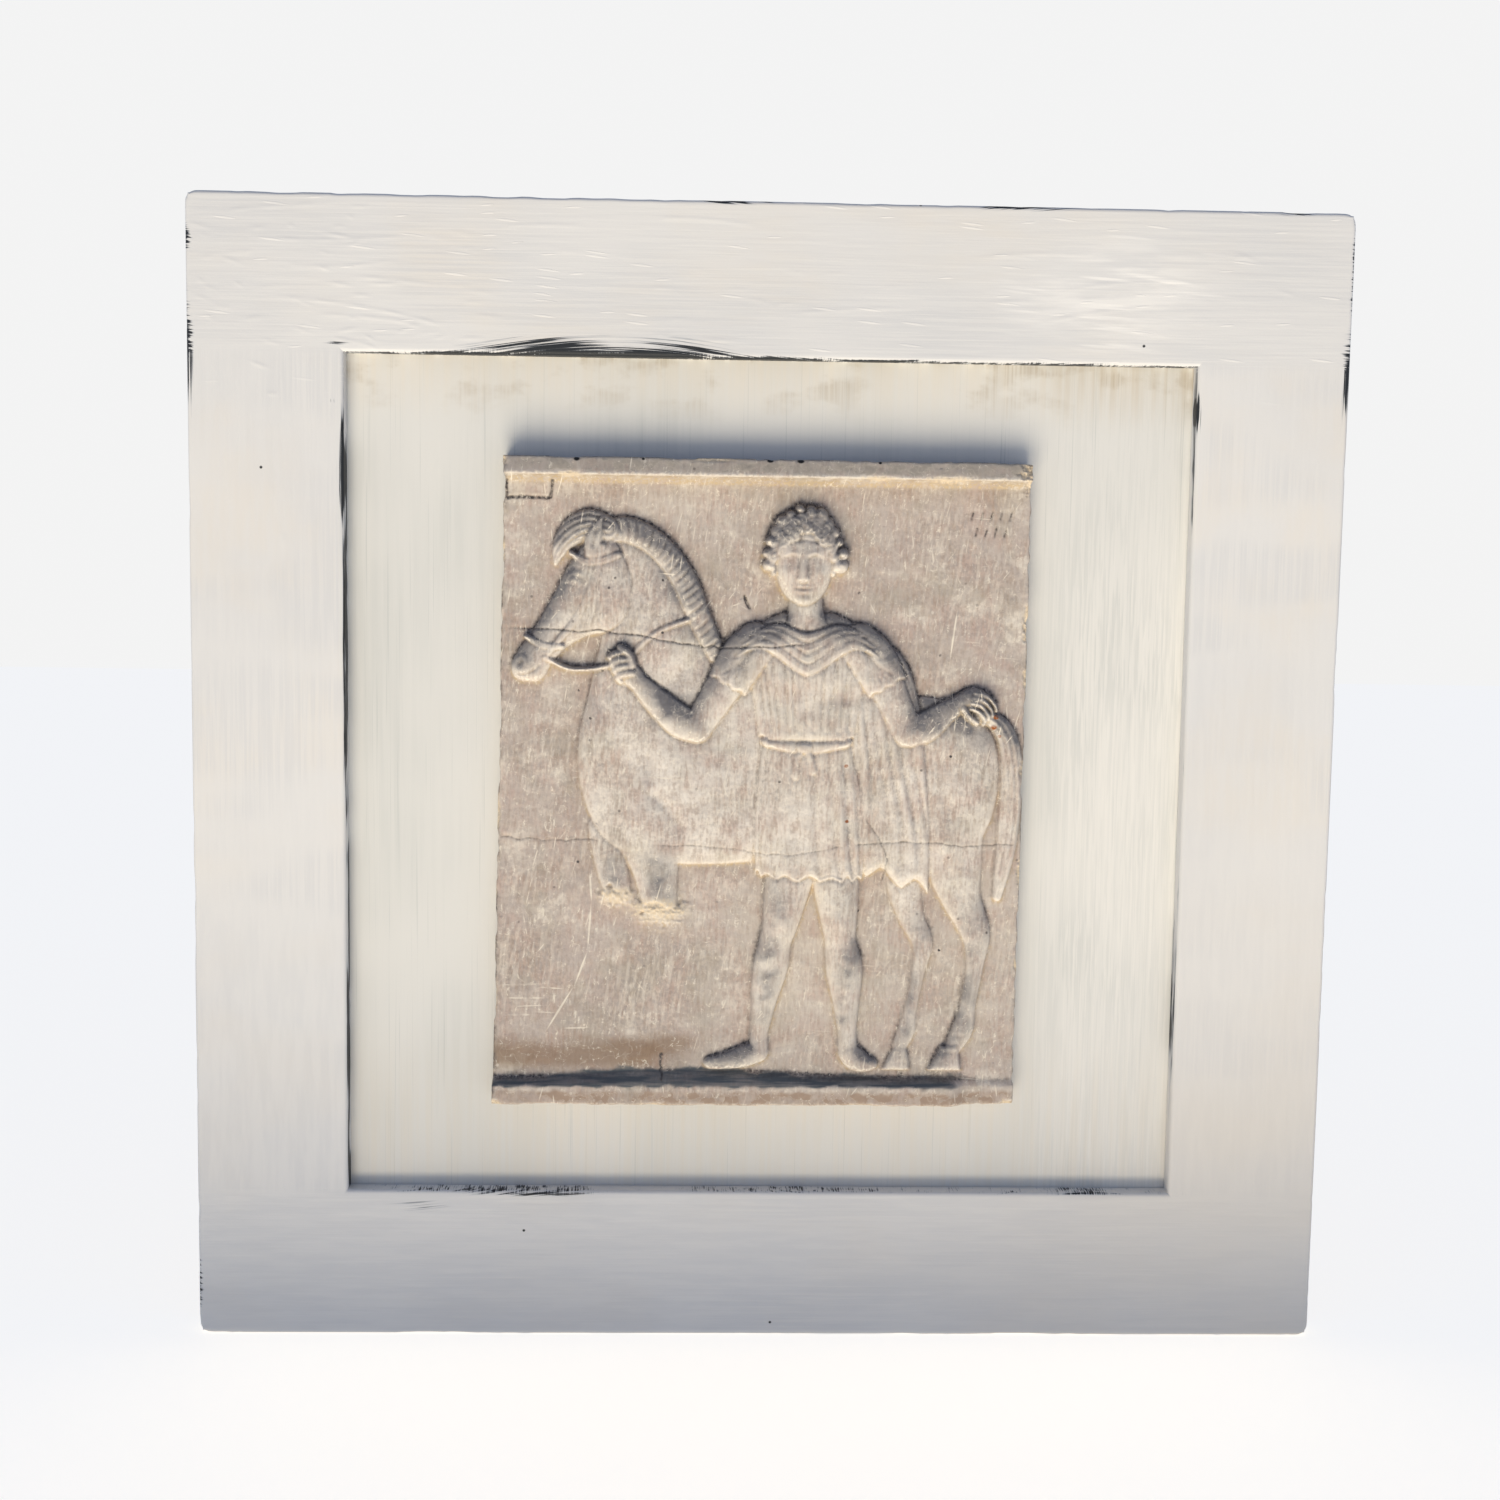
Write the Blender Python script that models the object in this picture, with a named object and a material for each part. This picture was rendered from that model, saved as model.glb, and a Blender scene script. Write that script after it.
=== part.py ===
"""A plaster relief plaque on a painted wooden panel, in a square frame of four mitred boards.

Run with: blender --background --python part.py

The work hangs on a wall. X is its width, Z is up, and it faces -Y. The origin is the middle of its flat
back, where it meets the wall. Every size is in metres. The carving is worked out in parts: the youth
stands YOUTH_PARTS parts tall on the ground line, so the two figures scale with YOUTH_HEIGHT. Its
highest point stands RELIEF_RISE from the field.
"""

import math

import bmesh
import bpy
import numpy as np
from mathutils import Matrix

# The frame of four boards
FRAME_WIDTH = 0.660
FRAME_HEIGHT = 0.660
BOARD_WIDTH = 0.0875
BOARD_THICKNESS = 0.019
ARRIS_RADIUS = 0.0022
RABBET_WIDTH = 0.009

# The panel behind the opening, flush with the backs of the boards
PANEL_THICKNESS = 0.008

# The plaster plaque: its slab, and where its middle lies from the middle of the frame
PLAQUE_WIDTH = 0.302
PLAQUE_HEIGHT = 0.374
SLAB_THICKNESS = 0.013
PLAQUE_RIGHT = -0.003
PLAQUE_UP = -0.001

# The fillet along the top, with a hollow under it
FILLET_HEIGHT = 0.010
FILLET_RISE = 0.010
FILLET_LEAN = 0.0035
HOLLOW_HEIGHT = 0.0055

# The ledge along the foot that the figures stand on, and its broken right end
LEDGE_FACE = 0.0105
LEDGE_SLOPE = 0.0095
LEDGE_RISE = 0.0075
LEDGE_WAVE = 0.0008
LEDGE_BREAK_INSET = 0.033
LEDGE_BREAK_LENGTH = 0.012
LEDGE_STUB_RISE = 0.0022

# The two figures
YOUTH_HEIGHT = 0.329
YOUTH_PARTS = 329
RELIEF_RISE = 0.0125

# In parts: the width over which an outline is softened, and how far the groove beside it reaches
SOFT_EDGE = 0.9
GROOVE_REACH = 2.0

# What touches without being one piece keeps this gap
FIT_GAP = 0.0003

# How finely the carving is worked out, and how many faces it is brought down to
CARVING_STEP = 0.0014
CARVING_FACES = 8800
ARC_STEPS = 3

# Worked out from the sizes above
OPENING_WIDTH = FRAME_WIDTH - 2 * BOARD_WIDTH
OPENING_HEIGHT = FRAME_HEIGHT - 2 * BOARD_WIDTH
PART = YOUTH_HEIGHT / YOUTH_PARTS
FOOT = PLAQUE_UP - PLAQUE_HEIGHT / 2
GROUND = FOOT + LEDGE_FACE + LEDGE_SLOPE


def clear_scene():
    """Removes what a new file holds."""
    for thing in list(bpy.data.objects):
        bpy.data.objects.remove(thing, do_unlink=True)


def material(name, colour, roughness):
    """A plain material with a linear colour and a roughness."""
    paint = bpy.data.materials.new(name)
    paint.use_nodes = True
    shader = paint.node_tree.nodes["Principled BSDF"]
    shader.inputs["Base Color"].default_value = (*colour, 1)
    shader.inputs["Roughness"].default_value = roughness
    return paint


def new_object(name, mesh, finish):
    """Puts a mesh into the scene as one named object with one material."""
    piece = bpy.data.objects.new(name, mesh)
    mesh.materials.append(finish)
    bpy.context.scene.collection.objects.link(piece)
    return piece


def board_section():
    """Section of a board as (across from the outer edge, depth from the wall).

    It is a rectangle with both front arrises rounded, and a step cut from its inner back edge that
    takes the panel with the fit gap round it.
    """
    step_depth = PANEL_THICKNESS + FIT_GAP
    points = [(0.0, 0.0)]
    for middle, start in ((ARRIS_RADIUS, 180), (BOARD_WIDTH - ARRIS_RADIUS, 90)):
        for k in range(ARC_STEPS + 1):
            angle = math.radians(start - 90 * k / ARC_STEPS)
            points.append((middle + ARRIS_RADIUS * math.cos(angle),
                           BOARD_THICKNESS - ARRIS_RADIUS + ARRIS_RADIUS * math.sin(angle)))
    points += [(BOARD_WIDTH, step_depth), (BOARD_WIDTH - RABBET_WIDTH, step_depth),
               (BOARD_WIDTH - RABBET_WIDTH, 0.0)]
    return points


def board(name, run, reach, turn, finish):
    """One board of the frame, mitred at both ends.

    The section is extruded along the board's run, and each end is sheared so that a point lies as much
    further in along the run as it lies in from the outer edge. The board is then turned into its
    place, where reach is the distance from the middle of the frame to the board's outer edge.
    """
    shape = bmesh.new()
    rim = [shape.verts.new((0, -depth, across)) for across, depth in board_section()]
    face = shape.faces.new(rim)
    grown = bmesh.ops.extrude_face_region(shape, geom=[face])["geom"]
    far_end = {item for item in grown if isinstance(item, bmesh.types.BMVert)}
    for vert in shape.verts:
        end = 1 if vert in far_end else -1
        vert.co.x = end * (run / 2 - vert.co.z - FIT_GAP / 2)
        vert.co.z -= reach
    bmesh.ops.recalc_face_normals(shape, faces=shape.faces)
    mesh = bpy.data.meshes.new(name)
    shape.to_mesh(mesh)
    shape.free()
    mesh.transform(Matrix.Rotation(math.radians(turn), 4, "Y"))
    new_object(name, mesh, finish)


def frame(finish):
    """The four boards, each turned a quarter further round the opening."""
    board("frame_bottom", FRAME_WIDTH, FRAME_HEIGHT / 2, 0, finish)
    board("frame_left", FRAME_HEIGHT, FRAME_WIDTH / 2, 90, finish)
    board("frame_top", FRAME_WIDTH, FRAME_HEIGHT / 2, 180, finish)
    board("frame_right", FRAME_HEIGHT, FRAME_WIDTH / 2, 270, finish)


def panel(finish):
    """The thin board that fills the opening and sits in the boards' rabbets."""
    width = OPENING_WIDTH + 2 * (RABBET_WIDTH - FIT_GAP)
    height = OPENING_HEIGHT + 2 * (RABBET_WIDTH - FIT_GAP)
    shape = bmesh.new()
    bmesh.ops.create_cube(shape, size=1)
    bmesh.ops.scale(shape, vec=(width, PANEL_THICKNESS, height), verts=shape.verts)
    bmesh.ops.translate(shape, vec=(0, -PANEL_THICKNESS / 2, 0), verts=shape.verts)
    mesh = bpy.data.meshes.new("panel")
    shape.to_mesh(mesh)
    shape.free()
    new_object("panel", mesh, finish)


def curve_through(points, closed=False, steps=5):
    """Smooth curve through rows of numbers, every column alike (a Catmull-Rom curve)."""
    rows = np.asarray(points, float)
    count = len(rows)
    start = np.arange(count if closed else count - 1)

    def row(shift):
        index = (start + shift) % count if closed else np.clip(start + shift, 0, count - 1)
        return rows[index][:, None]

    before, here, there, after = row(-1), row(0), row(1), row(2)
    t = np.linspace(0, 1, steps, endpoint=False)[None, :, None]
    curve = 0.5 * (2 * here + (there - before) * t
                   + (2 * before - 5 * here + 4 * there - after) * t ** 2
                   + (3 * here - before - 3 * there + after) * t ** 3)
    curve = curve.reshape(-1, rows.shape[1])
    return curve if closed else np.vstack([curve, rows[-1:]])


def ramp(value):
    """Rises smoothly from 0 to 1 while the value does."""
    t = np.clip(value, 0, 1)
    return t * t * (3 - 2 * t)


def dome(value, power):
    """Section of a rounded form: 1 on its middle line, 0 at its edge, where it drops away steeply."""
    return np.sqrt(1 - np.clip(value, 0, 1) ** power)


def blurred(field, reach):
    """The field averaged over a few cells each way, with a bell-shaped weight."""
    cells = int(3 * reach) + 1
    weights = np.exp(-0.5 * (np.arange(-cells, cells + 1) / reach) ** 2)
    weights /= weights.sum()
    for axis in (0, 1):
        edge = [(cells, cells) if axis == k else (0, 0) for k in (0, 1)]
        wide = np.pad(field, edge, mode="edge")
        size = field.shape[axis]
        pieces = [wide[k:k + size] if axis == 0 else wide[:, k:k + size] for k in range(2 * cells + 1)]
        field = sum(weight * piece for weight, piece in zip(weights, pieces))
    return field


class Form:
    """A rounded form seen from the front.

    share is 1 on its middle and 0 at its outline, height is how far it stands from the field, and out
    is the distance outside its outline, negative within it. All are arrays over the carving's grid, and
    window holds the rows and columns that it comes near.
    """

    def __init__(self, window, share, height, out):
        self.window, self.share, self.height, self.out = window, share, height, out

    def cut(self, beyond):
        """Takes away what lies where beyond is above 0."""
        keep = beyond < 0
        return Form(self.window, self.share * keep, self.height * keep, np.maximum(self.out, beyond))


class Carving:
    """Height of the carved front over a grid, in parts, with the ground line at height 0."""

    def __init__(self, across, up):
        self.across, self.up = across, up
        self.cell = across[1] - across[0]
        self.x, self.z = np.meshgrid(across, up)
        self.rise = np.zeros(self.x.shape)

    def window(self, path, margin):
        """The rows and columns of the grid that a path comes near."""
        low, high = path[:, :2].min(axis=0) - margin, path[:, :2].max(axis=0) + margin
        columns = slice(*np.searchsorted(self.across, (low[0], high[0])))
        rows = slice(*np.searchsorted(self.up, (low[1], high[1])))
        return rows, columns

    def spread(self, window, share, height, out):
        """A form over the whole grid from one worked out in a window of it."""
        form = Form(window, np.zeros(self.x.shape), np.zeros(self.x.shape), np.full(self.x.shape, 99.0))
        form.share[window], form.height[window], form.out[window] = share, height, out
        return form

    def limb(self, stations, power=2.0):
        """A round form swept along a curve through stations (x, z, half width, height).

        At each point it is as high as the highest of the domes set along the curve.
        """
        path = curve_through(stations)
        window = self.window(path, path[:, 2].max() + 8)
        x, z = self.x[window], self.z[window]
        share, height, out = np.zeros(x.shape), np.zeros(x.shape), np.full(x.shape, 99.0)
        for (ax, az, a_half, a_top), (bx, bz, b_half, b_top) in zip(path[:-1], path[1:]):
            length = max((bx - ax) ** 2 + (bz - az) ** 2, 1e-9)
            t = np.clip(((x - ax) * (bx - ax) + (z - az) * (bz - az)) / length, 0, 1)
            away = np.hypot(x - ax - t * (bx - ax), z - az - t * (bz - az))
            half = a_half + t * (b_half - a_half)
            round_off = dome(away / half, power)
            share = np.maximum(share, round_off)
            height = np.maximum(height, round_off * (a_top + t * (b_top - a_top)))
            out = np.minimum(out, away - half)
        return self.spread(window, share, height, out)

    def strap(self, points, half, top):
        """A flat band of one width along a curve."""
        return self.limb([(x, z, half, top) for x, z in points], power=6)

    def outline(self, points, height, roll, curved=True):
        """A form inside an outline, rounded over the roll from its edge up to its height."""
        path = curve_through(points, closed=True) if curved else np.asarray(points, float)
        window = self.window(path, 8)
        x, z = self.x[window], self.z[window]
        nearest, inside = np.full(x.shape, 1e4), np.zeros(x.shape, bool)
        for (ax, az), (bx, bz) in zip(path, np.roll(path, -1, axis=0)):
            length = max((bx - ax) ** 2 + (bz - az) ** 2, 1e-9)
            t = np.clip(((x - ax) * (bx - ax) + (z - az) * (bz - az)) / length, 0, 1)
            nearest = np.minimum(nearest, np.hypot(x - ax - t * (bx - ax), z - az - t * (bz - az)))
            if az != bz:
                crossed = x < ax + (bx - ax) * (z - az) / (bz - az)
                inside ^= ((az > z) != (bz > z)) & crossed
        share = np.where(inside, dome(1 - nearest / roll, 2.4), 0)
        return self.spread(window, share, share * height, np.where(inside, -nearest, nearest))

    def column(self, stations, soft_top=0.0, soft_foot=0.0):
        """An upright form from stations (z, middle, half width, height), from the foot up."""
        path = curve_through(stations)
        middle, half, top = (np.interp(self.up, path[:, 0], path[:, k])[:, None] for k in (1, 2, 3))
        share = dome(np.abs(self.x - middle) / half, 2.4)
        from_foot, from_top = self.z - path[0, 0], path[-1, 0] - self.z
        out = np.maximum(np.abs(self.x - middle) - half, -np.minimum(from_foot, from_top))
        for inside, soft in ((from_foot, soft_foot), (from_top, soft_top)):
            if soft:
                share = share * dome(1 - inside / soft, 2.0)
        share = np.where(out < 0, share, 0)
        reach = path[:, 2].max()
        corners = np.array([(path[:, 1].min() - reach, path[0, 0]), (path[:, 1].max() + reach, path[-1, 0])])
        return Form(self.window(corners, 8), share, share * top, out)

    def joined(self, forms, fill):
        """Forms of one body: the highest of them, with the valleys between them filled."""
        whole = forms[0]
        for form in forms[1:]:
            reach = np.minimum(np.minimum(whole.height, form.height), fill) + 1e-9
            meet = np.maximum(reach - np.abs(whole.height - form.height), 0)
            height = np.maximum(whole.height, form.height) + meet ** 2 / (4 * reach)
            window = tuple(slice(min(a.start, b.start), max(a.stop, b.stop))
                           for a, b in zip(whole.window, form.window))
            whole = Form(window, np.maximum(whole.share, form.share), height,
                         np.minimum(whole.out, form.out))
        return whole

    def lay(self, form, groove=0.6, least=0.6, spread=4.0):
        """Lays a form on the carving.

        At its outline it starts from what lies under it, averaged over the spread, and it goes over to
        its own height within, standing at least so much above that. A shallow groove runs round it.
        """
        window = form.window
        out, rise = form.out[window], self.rise[window]
        soft = np.clip(-out / SOFT_EDGE, 0, 1)
        share, height = form.share[window] * soft, form.height[window] * soft
        under = blurred(rise, spread / self.cell)
        top = under * (1 - share) + np.maximum(height, (under + least) * share)
        beside = rise - groove * np.exp(-(np.maximum(out, 0) / GROOVE_REACH) ** 2)
        inside = np.clip(0.5 - out / self.cell, 0, 1)
        self.rise[window] = inside * np.maximum(top, 0) + (1 - inside) * beside

    def swell(self, x, z, half_x, half_z, amount, turn=0, within=None):
        """Adds a bell-shaped swelling, or a hollow, turned by some degrees."""
        c, s = math.cos(math.radians(turn)), math.sin(math.radians(turn))
        u = (self.x - x) * c + (self.z - z) * s
        v = (self.z - z) * c - (self.x - x) * s
        inside = ramp(-within.out / 4) if within else 1
        self.rise += amount * np.exp(-(u / half_x) ** 2 - (v / half_z) ** 2) * inside

    def along(self, points):
        """Window near a curve and, in it, the distance, the run to the nearest point and the offset.

        The offset is the distance with a sign: it is above 0 on the left of the curve's run.
        """
        path = curve_through(points)
        window = self.window(path, 12)
        x, z = self.x[window], self.z[window]
        runs = np.concatenate([[0], np.cumsum(np.hypot(*np.diff(path, axis=0).T))])
        away, run, side = (np.full(x.shape, value) for value in (99.0, 0.0, 0.0))
        for k, ((ax, az), (bx, bz)) in enumerate(zip(path[:-1], path[1:])):
            length = max((bx - ax) ** 2 + (bz - az) ** 2, 1e-9)
            t = np.clip(((x - ax) * (bx - ax) + (z - az) * (bz - az)) / length, 0, 1)
            u, v = x - ax - t * (bx - ax), z - az - t * (bz - az)
            nearer = np.hypot(u, v) < away
            away = np.where(nearer, np.hypot(u, v), away)
            run = np.where(nearer, runs[k] + t * (runs[k + 1] - runs[k]), run)
            side = np.where(nearer, np.sign((bx - ax) * v - (bz - az) * u), side)
        return window, away, run, side * away, runs[-1]

    def groove(self, points, depth, half, within=None):
        """Cuts a groove along a curve, fading at both ends; a negative depth raises a ridge."""
        window, away, run, _, length = self.along(points)
        fade = np.clip(np.minimum(run, length - run) / (0.2 * length) + 0.15, 0, 1)
        inside = ramp(-within.out[window] / 2) if within else 1
        self.rise[window] -= depth * np.exp(-(away / half) ** 2) * fade * inside


def carve_horse(carving):
    """The horse behind the youth, facing left, its forelegs broken off below the chest."""
    trunk = carving.outline([
        (-86, 312), (-64, 304), (-47, 284), (-36, 258), (-20, 234), (20, 222), (60, 217), (84, 221),
        (106, 218), (124, 209), (135, 194), (138, 172), (134, 150), (125, 132), (112, 120), (88, 136),
        (40, 128), (-10, 122), (-50, 121), (-78, 128), (-96, 144), (-105, 168), (-106, 194), (-101, 218),
        (-97, 238), (-94, 256), (-100, 288)], 4.6, 16)
    far_hind = carving.joined([
        carving.limb([(92, 138, 15, 3.0), (84, 112, 11, 2.8), (88, 92, 8, 2.6), (95, 76, 6.5, 3.0),
                      (93, 58, 4.4, 2.6), (89, 36, 4.2, 2.6), (87, 24, 5.6, 3.0), (83, 15, 4.8, 3.0)]),
        carving.outline([(72, 0), (90, 0), (89, 8), (87, 15), (79, 14)], 3.4, 4, curved=False)], 0.6)
    far_fore = carving.limb([(-86, 142, 14, 3.6), (-86, 124, 10.5, 3.8), (-83, 108, 8.5, 3.4)])
    near_hind = carving.limb([
        (108, 156, 22, 2.6), (112, 124, 17, 4.6), (117, 103, 12, 4.7), (126, 82, 8.8, 5.2),
        (126, 62, 5.6, 4.3), (122.5, 38, 5.2, 4.3), (120, 25, 6.8, 4.8), (115, 15, 5.6, 4.6)])
    near_hoof = carving.outline([(99, 0), (120, 0), (119, 9), (117, 17), (107, 15.5)], 5.2, 5, curved=False)
    near_fore = carving.limb([(-70, 156, 22, 2.6), (-63, 130, 16, 4.8), (-60, 113, 12.5, 5.2),
                              (-58, 98, 10.5, 4.9)])
    carving.lay(far_hind)
    carving.lay(far_fore)
    body = carving.joined([trunk, near_hind, near_fore, near_hoof], 3.5)
    carving.lay(body, groove=0.8)
    muscles = [(-88, 200, 16, 26, 1.3, 0), (-60, 190, 14, 34, 0.8, 25), (-34, 172, 30, 28, 0.7, 0),
               (-66, 148, 15, 17, 0.9, 0), (98, 198, 22, 13, 0.9, -20), (120, 160, 12, 24, 1.0, 12),
               (92, 160, 9, 20, 0.7, -14), (-66, 250, 13, 30, 0.9, 24), (-82, 232, 8, 26, 0.6, 10)]
    for muscle in muscles:
        carving.swell(*muscle, within=body)
    hollows = [([(-40, 246), (-56, 220), (-66, 192), (-64, 164)], 1.1, 4.5),
               ([(-66, 164), (-52, 152), (-44, 138)], 0.7, 4),
               ([(80, 212), (74, 184), (80, 158), (90, 140)], 1.0, 4.5),
               ([(-76, 262), (-84, 238), (-90, 214)], 0.7, 3.5)]
    for hollow in hollows:
        carving.groove(*hollow, within=body)
    tail_stations = [(122, 209, 3, 4.6), (131, 208, 4.6, 5.4), (139, 201, 5.8, 5.6), (143.5, 186, 6.5, 5.2),
                     (144, 160, 6.8, 4.8), (142, 130, 6.0, 4.4), (138, 104, 3.2, 3.4)]
    tail = carving.limb(tail_stations)
    carving.lay(tail, groove=0.8)
    window, _, run, offset, _ = carving.along([station[:2] for station in tail_stations])
    strands = np.cos(2 * np.pi * (offset / 3.4 + 0.35 * np.sin(run / 15)))
    carving.rise[window] += 0.55 * strands * ramp(-tail.out[window] / 2.2)
    break_off(carving, -60, 96, 20, 9)
    break_off(carving, -83, 107, 11, 6)


def break_off(carving, x, z, half_x, half_z):
    """A broken stump: the form is cut away below a ragged line and a low rough patch is left there."""
    ragged = 1.6 * np.sin(carving.x * 0.9) + 1.2 * np.sin(carving.x * 2.3 + 1)
    near = np.exp(-((carving.x - x) / half_x) ** 4)
    below = ramp((z + ragged - carving.z) / 1.6) * near
    patch = 2.0 * np.exp(-((carving.x - x) / half_x) ** 2 - ((carving.z - z + 4) / half_z) ** 2)
    patch *= 1 + 0.3 * np.sin(carving.x * 1.7) * np.sin(carving.z * 2.1)
    carving.rise = carving.rise * (1 - below) + patch * below


def carve_horse_head(carving):
    """The horse's bridled head, with a cropped mane of curved locks along the crest of its neck."""
    head = carving.outline([
        (-92, 313), (-103, 307), (-113, 293), (-122, 275), (-132, 257), (-141, 244), (-145, 236),
        (-143.8, 229.6), (-139.5, 226.4), (-134, 225.6), (-129, 226), (-124.6, 229.6), (-120.5, 237),
        (-112, 246), (-101, 252), (-88, 256), (-79, 266), (-77, 284), (-83, 302)], 6.4, 10)
    carving.lay(head, groove=1.0, least=1.0)
    for swelling in [(-94, 273, 13, 13, 1.1, 0), (-124, 268, 3.4, 24, 0.9, -29), (-138, 234, 6, 6, 1.0, 0),
                     (-117, 256, 9, 5, -1.0, 46), (-107, 296, 5, 6, 0.9, 0), (-104, 286, 7, 3, -0.7, 60)]:
        carving.swell(*swelling, within=head)
    carving.swell(-108.2, 284.4, 5.4, 3.6, -1.0, -32)
    carving.swell(-108.4, 284.2, 3.3, 2.4, 1.8, -32)
    carving.swell(-139.3, 236.4, 2.2, 3.0, -1.6, -30)
    carving.groove([(-143.4, 230.6), (-136.6, 230.4), (-131, 233), (-126.6, 238)], 1.0, 1.2)
    crest = [(-97, 310, 6, 5.4), (-80, 313.5, 7.4, 6.0), (-62, 305, 7.4, 6.2), (-47, 287, 7.4, 6.2),
             (-37, 264, 7, 6.0), (-27, 243, 5.5, 5.4)]
    mane = carving.limb(crest)
    carving.lay(mane, least=1.2)
    lock_spacing = 5.4
    window, _, run, offset, _ = carving.along([station[:2] for station in crest])
    turn = run / lock_spacing + 0.06 * offset + 0.006 * offset ** 2
    between = (0.5 + 0.5 * np.cos(2 * np.pi * turn)) ** 2
    deeper_outside = np.clip(0.8 + 0.05 * offset, 0.35, 1.15)
    carving.rise[window] -= 1.7 * between * deeper_outside * ramp(-mane.out[window] / 1.6)
    tuft = [(-90, 317, 5.0, 6.2), (-101, 322, 6.4, 6.8), (-111, 319, 6.2, 6.4), (-117, 310, 4.6, 6.0),
            (-114, 302, 2.6, 5.4)]
    forelock = carving.limb(tuft)
    carving.lay(forelock, least=1.0)
    window, _, run, offset, _ = carving.along([station[:2] for station in tuft])
    between = 0.5 + 0.5 * np.cos(2 * np.pi * (offset / 3.3 + run / 24))
    carving.rise[window] -= 1.1 * between * ramp(-forelock.out[window] / 1.4)
    ear = carving.limb([(-99, 300, 4.6, 7.6), (-98.4, 308, 4.8, 8.0), (-93.6, 320, 1.2, 6.8)])
    carving.lay(ear, least=0.8)
    for points in ([(-93, 304), (-98, 283), (-108, 262), (-124, 242)],
                   [(-136, 252), (-126, 247), (-115.5, 246.5)],
                   [(-111, 299.5), (-103, 295), (-94, 295.5), (-84, 299)]):
        carving.lay(carving.strap(points, 1.9, 7.0), spread=1.0)


def carve_cloak(carving):
    """The cloak that hangs behind the youth, with long folds and a stepped hem."""
    hem, step = 104, 5.0
    edge = curve_through([(52, 258), (70, 252), (83, 238), (90, 214), (94, 180), (97, 140), (98, hem)])
    stepped = [(98 - step * k + 1.2 * (-1) ** k, hem + 1.5 * k + (7 if k % 4 in (1, 2) else 0))
               for k in range(1, 9)]
    cloak = carving.outline([*edge, *stepped, (56, 130), (50, 200)], 6.4, 6, curved=False)
    carving.lay(cloak, groove=0.8, least=1.6)
    fallen = np.clip((250 - carving.z) / (250 - hem), 0, 1)
    left, right = 54 + 4 * fallen, 66 + 34 * fallen ** 0.6
    across = (carving.x - left) / (right - left)
    turn = 4.5 * across + 0.25 * np.sin(carving.z / 16 + 3 * across) - 0.2
    size = 0.8 + 0.3 * np.cos(2.4 * np.round(turn))
    folds = size * (np.clip(np.cos(2 * np.pi * turn) + 0.4, -1, 1) + 0.6) - 0.85
    carving.rise += 1.25 * folds * ramp(-cloak.out / 2) * (0.5 + 0.5 * fallen)


def carve_legs(carving):
    """The youth's legs: one carries the weight, the other is relaxed and turned to the left."""
    weight_leg = carving.joined([
        carving.limb([(41, 130, 15.5, 8.0), (44, 108, 13.6, 8.6), (46, 88, 10.8, 8.8), (47, 76, 9.6, 7.8),
                      (49.5, 61, 11.2, 7.8), (51, 41, 8.2, 7.0), (52, 21, 5.8, 6.4), (52.5, 14, 6.4, 6.6)]),
        carving.limb([(53, 11, 6.6, 7.0), (57, 7.0, 7.4, 6.8), (62, 4.6, 5.8, 5.8), (66.5, 3.8, 4.2, 4.6)])],
        0.8)
    relaxed_leg = carving.joined([
        carving.limb([(19, 130, 15.5, 8.4), (15.5, 108, 13.6, 9.6), (12, 88, 11.0, 10.4), (9, 76, 9.8, 8.8),
                      (6.5, 61, 10.6, 8.0), (3, 41, 7.8, 7.0), (0.5, 21, 5.6, 6.4), (0, 14, 6.2, 6.6)]),
        carving.limb([(-0.5, 11, 7.0, 7.0), (-10, 7.6, 6.8, 6.6), (-20, 5.0, 5.2, 5.8),
                      (-28, 4.0, 4.0, 4.6)])], 0.8)
    for leg in (weight_leg, relaxed_leg):
        carving.lay(leg, groove=0.8)
    for x, z in ((46, 88), (12, 88)):
        carving.swell(x, z + 1, 4.6, 5.6, 0.9)
        carving.swell(x + 8, z - 26, 3.6, 13, 0.7)
        for side in (-1, 1):
            carving.swell(x + 6.4 * side, z - 1, 1.8, 6.0, -0.5)


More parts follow.
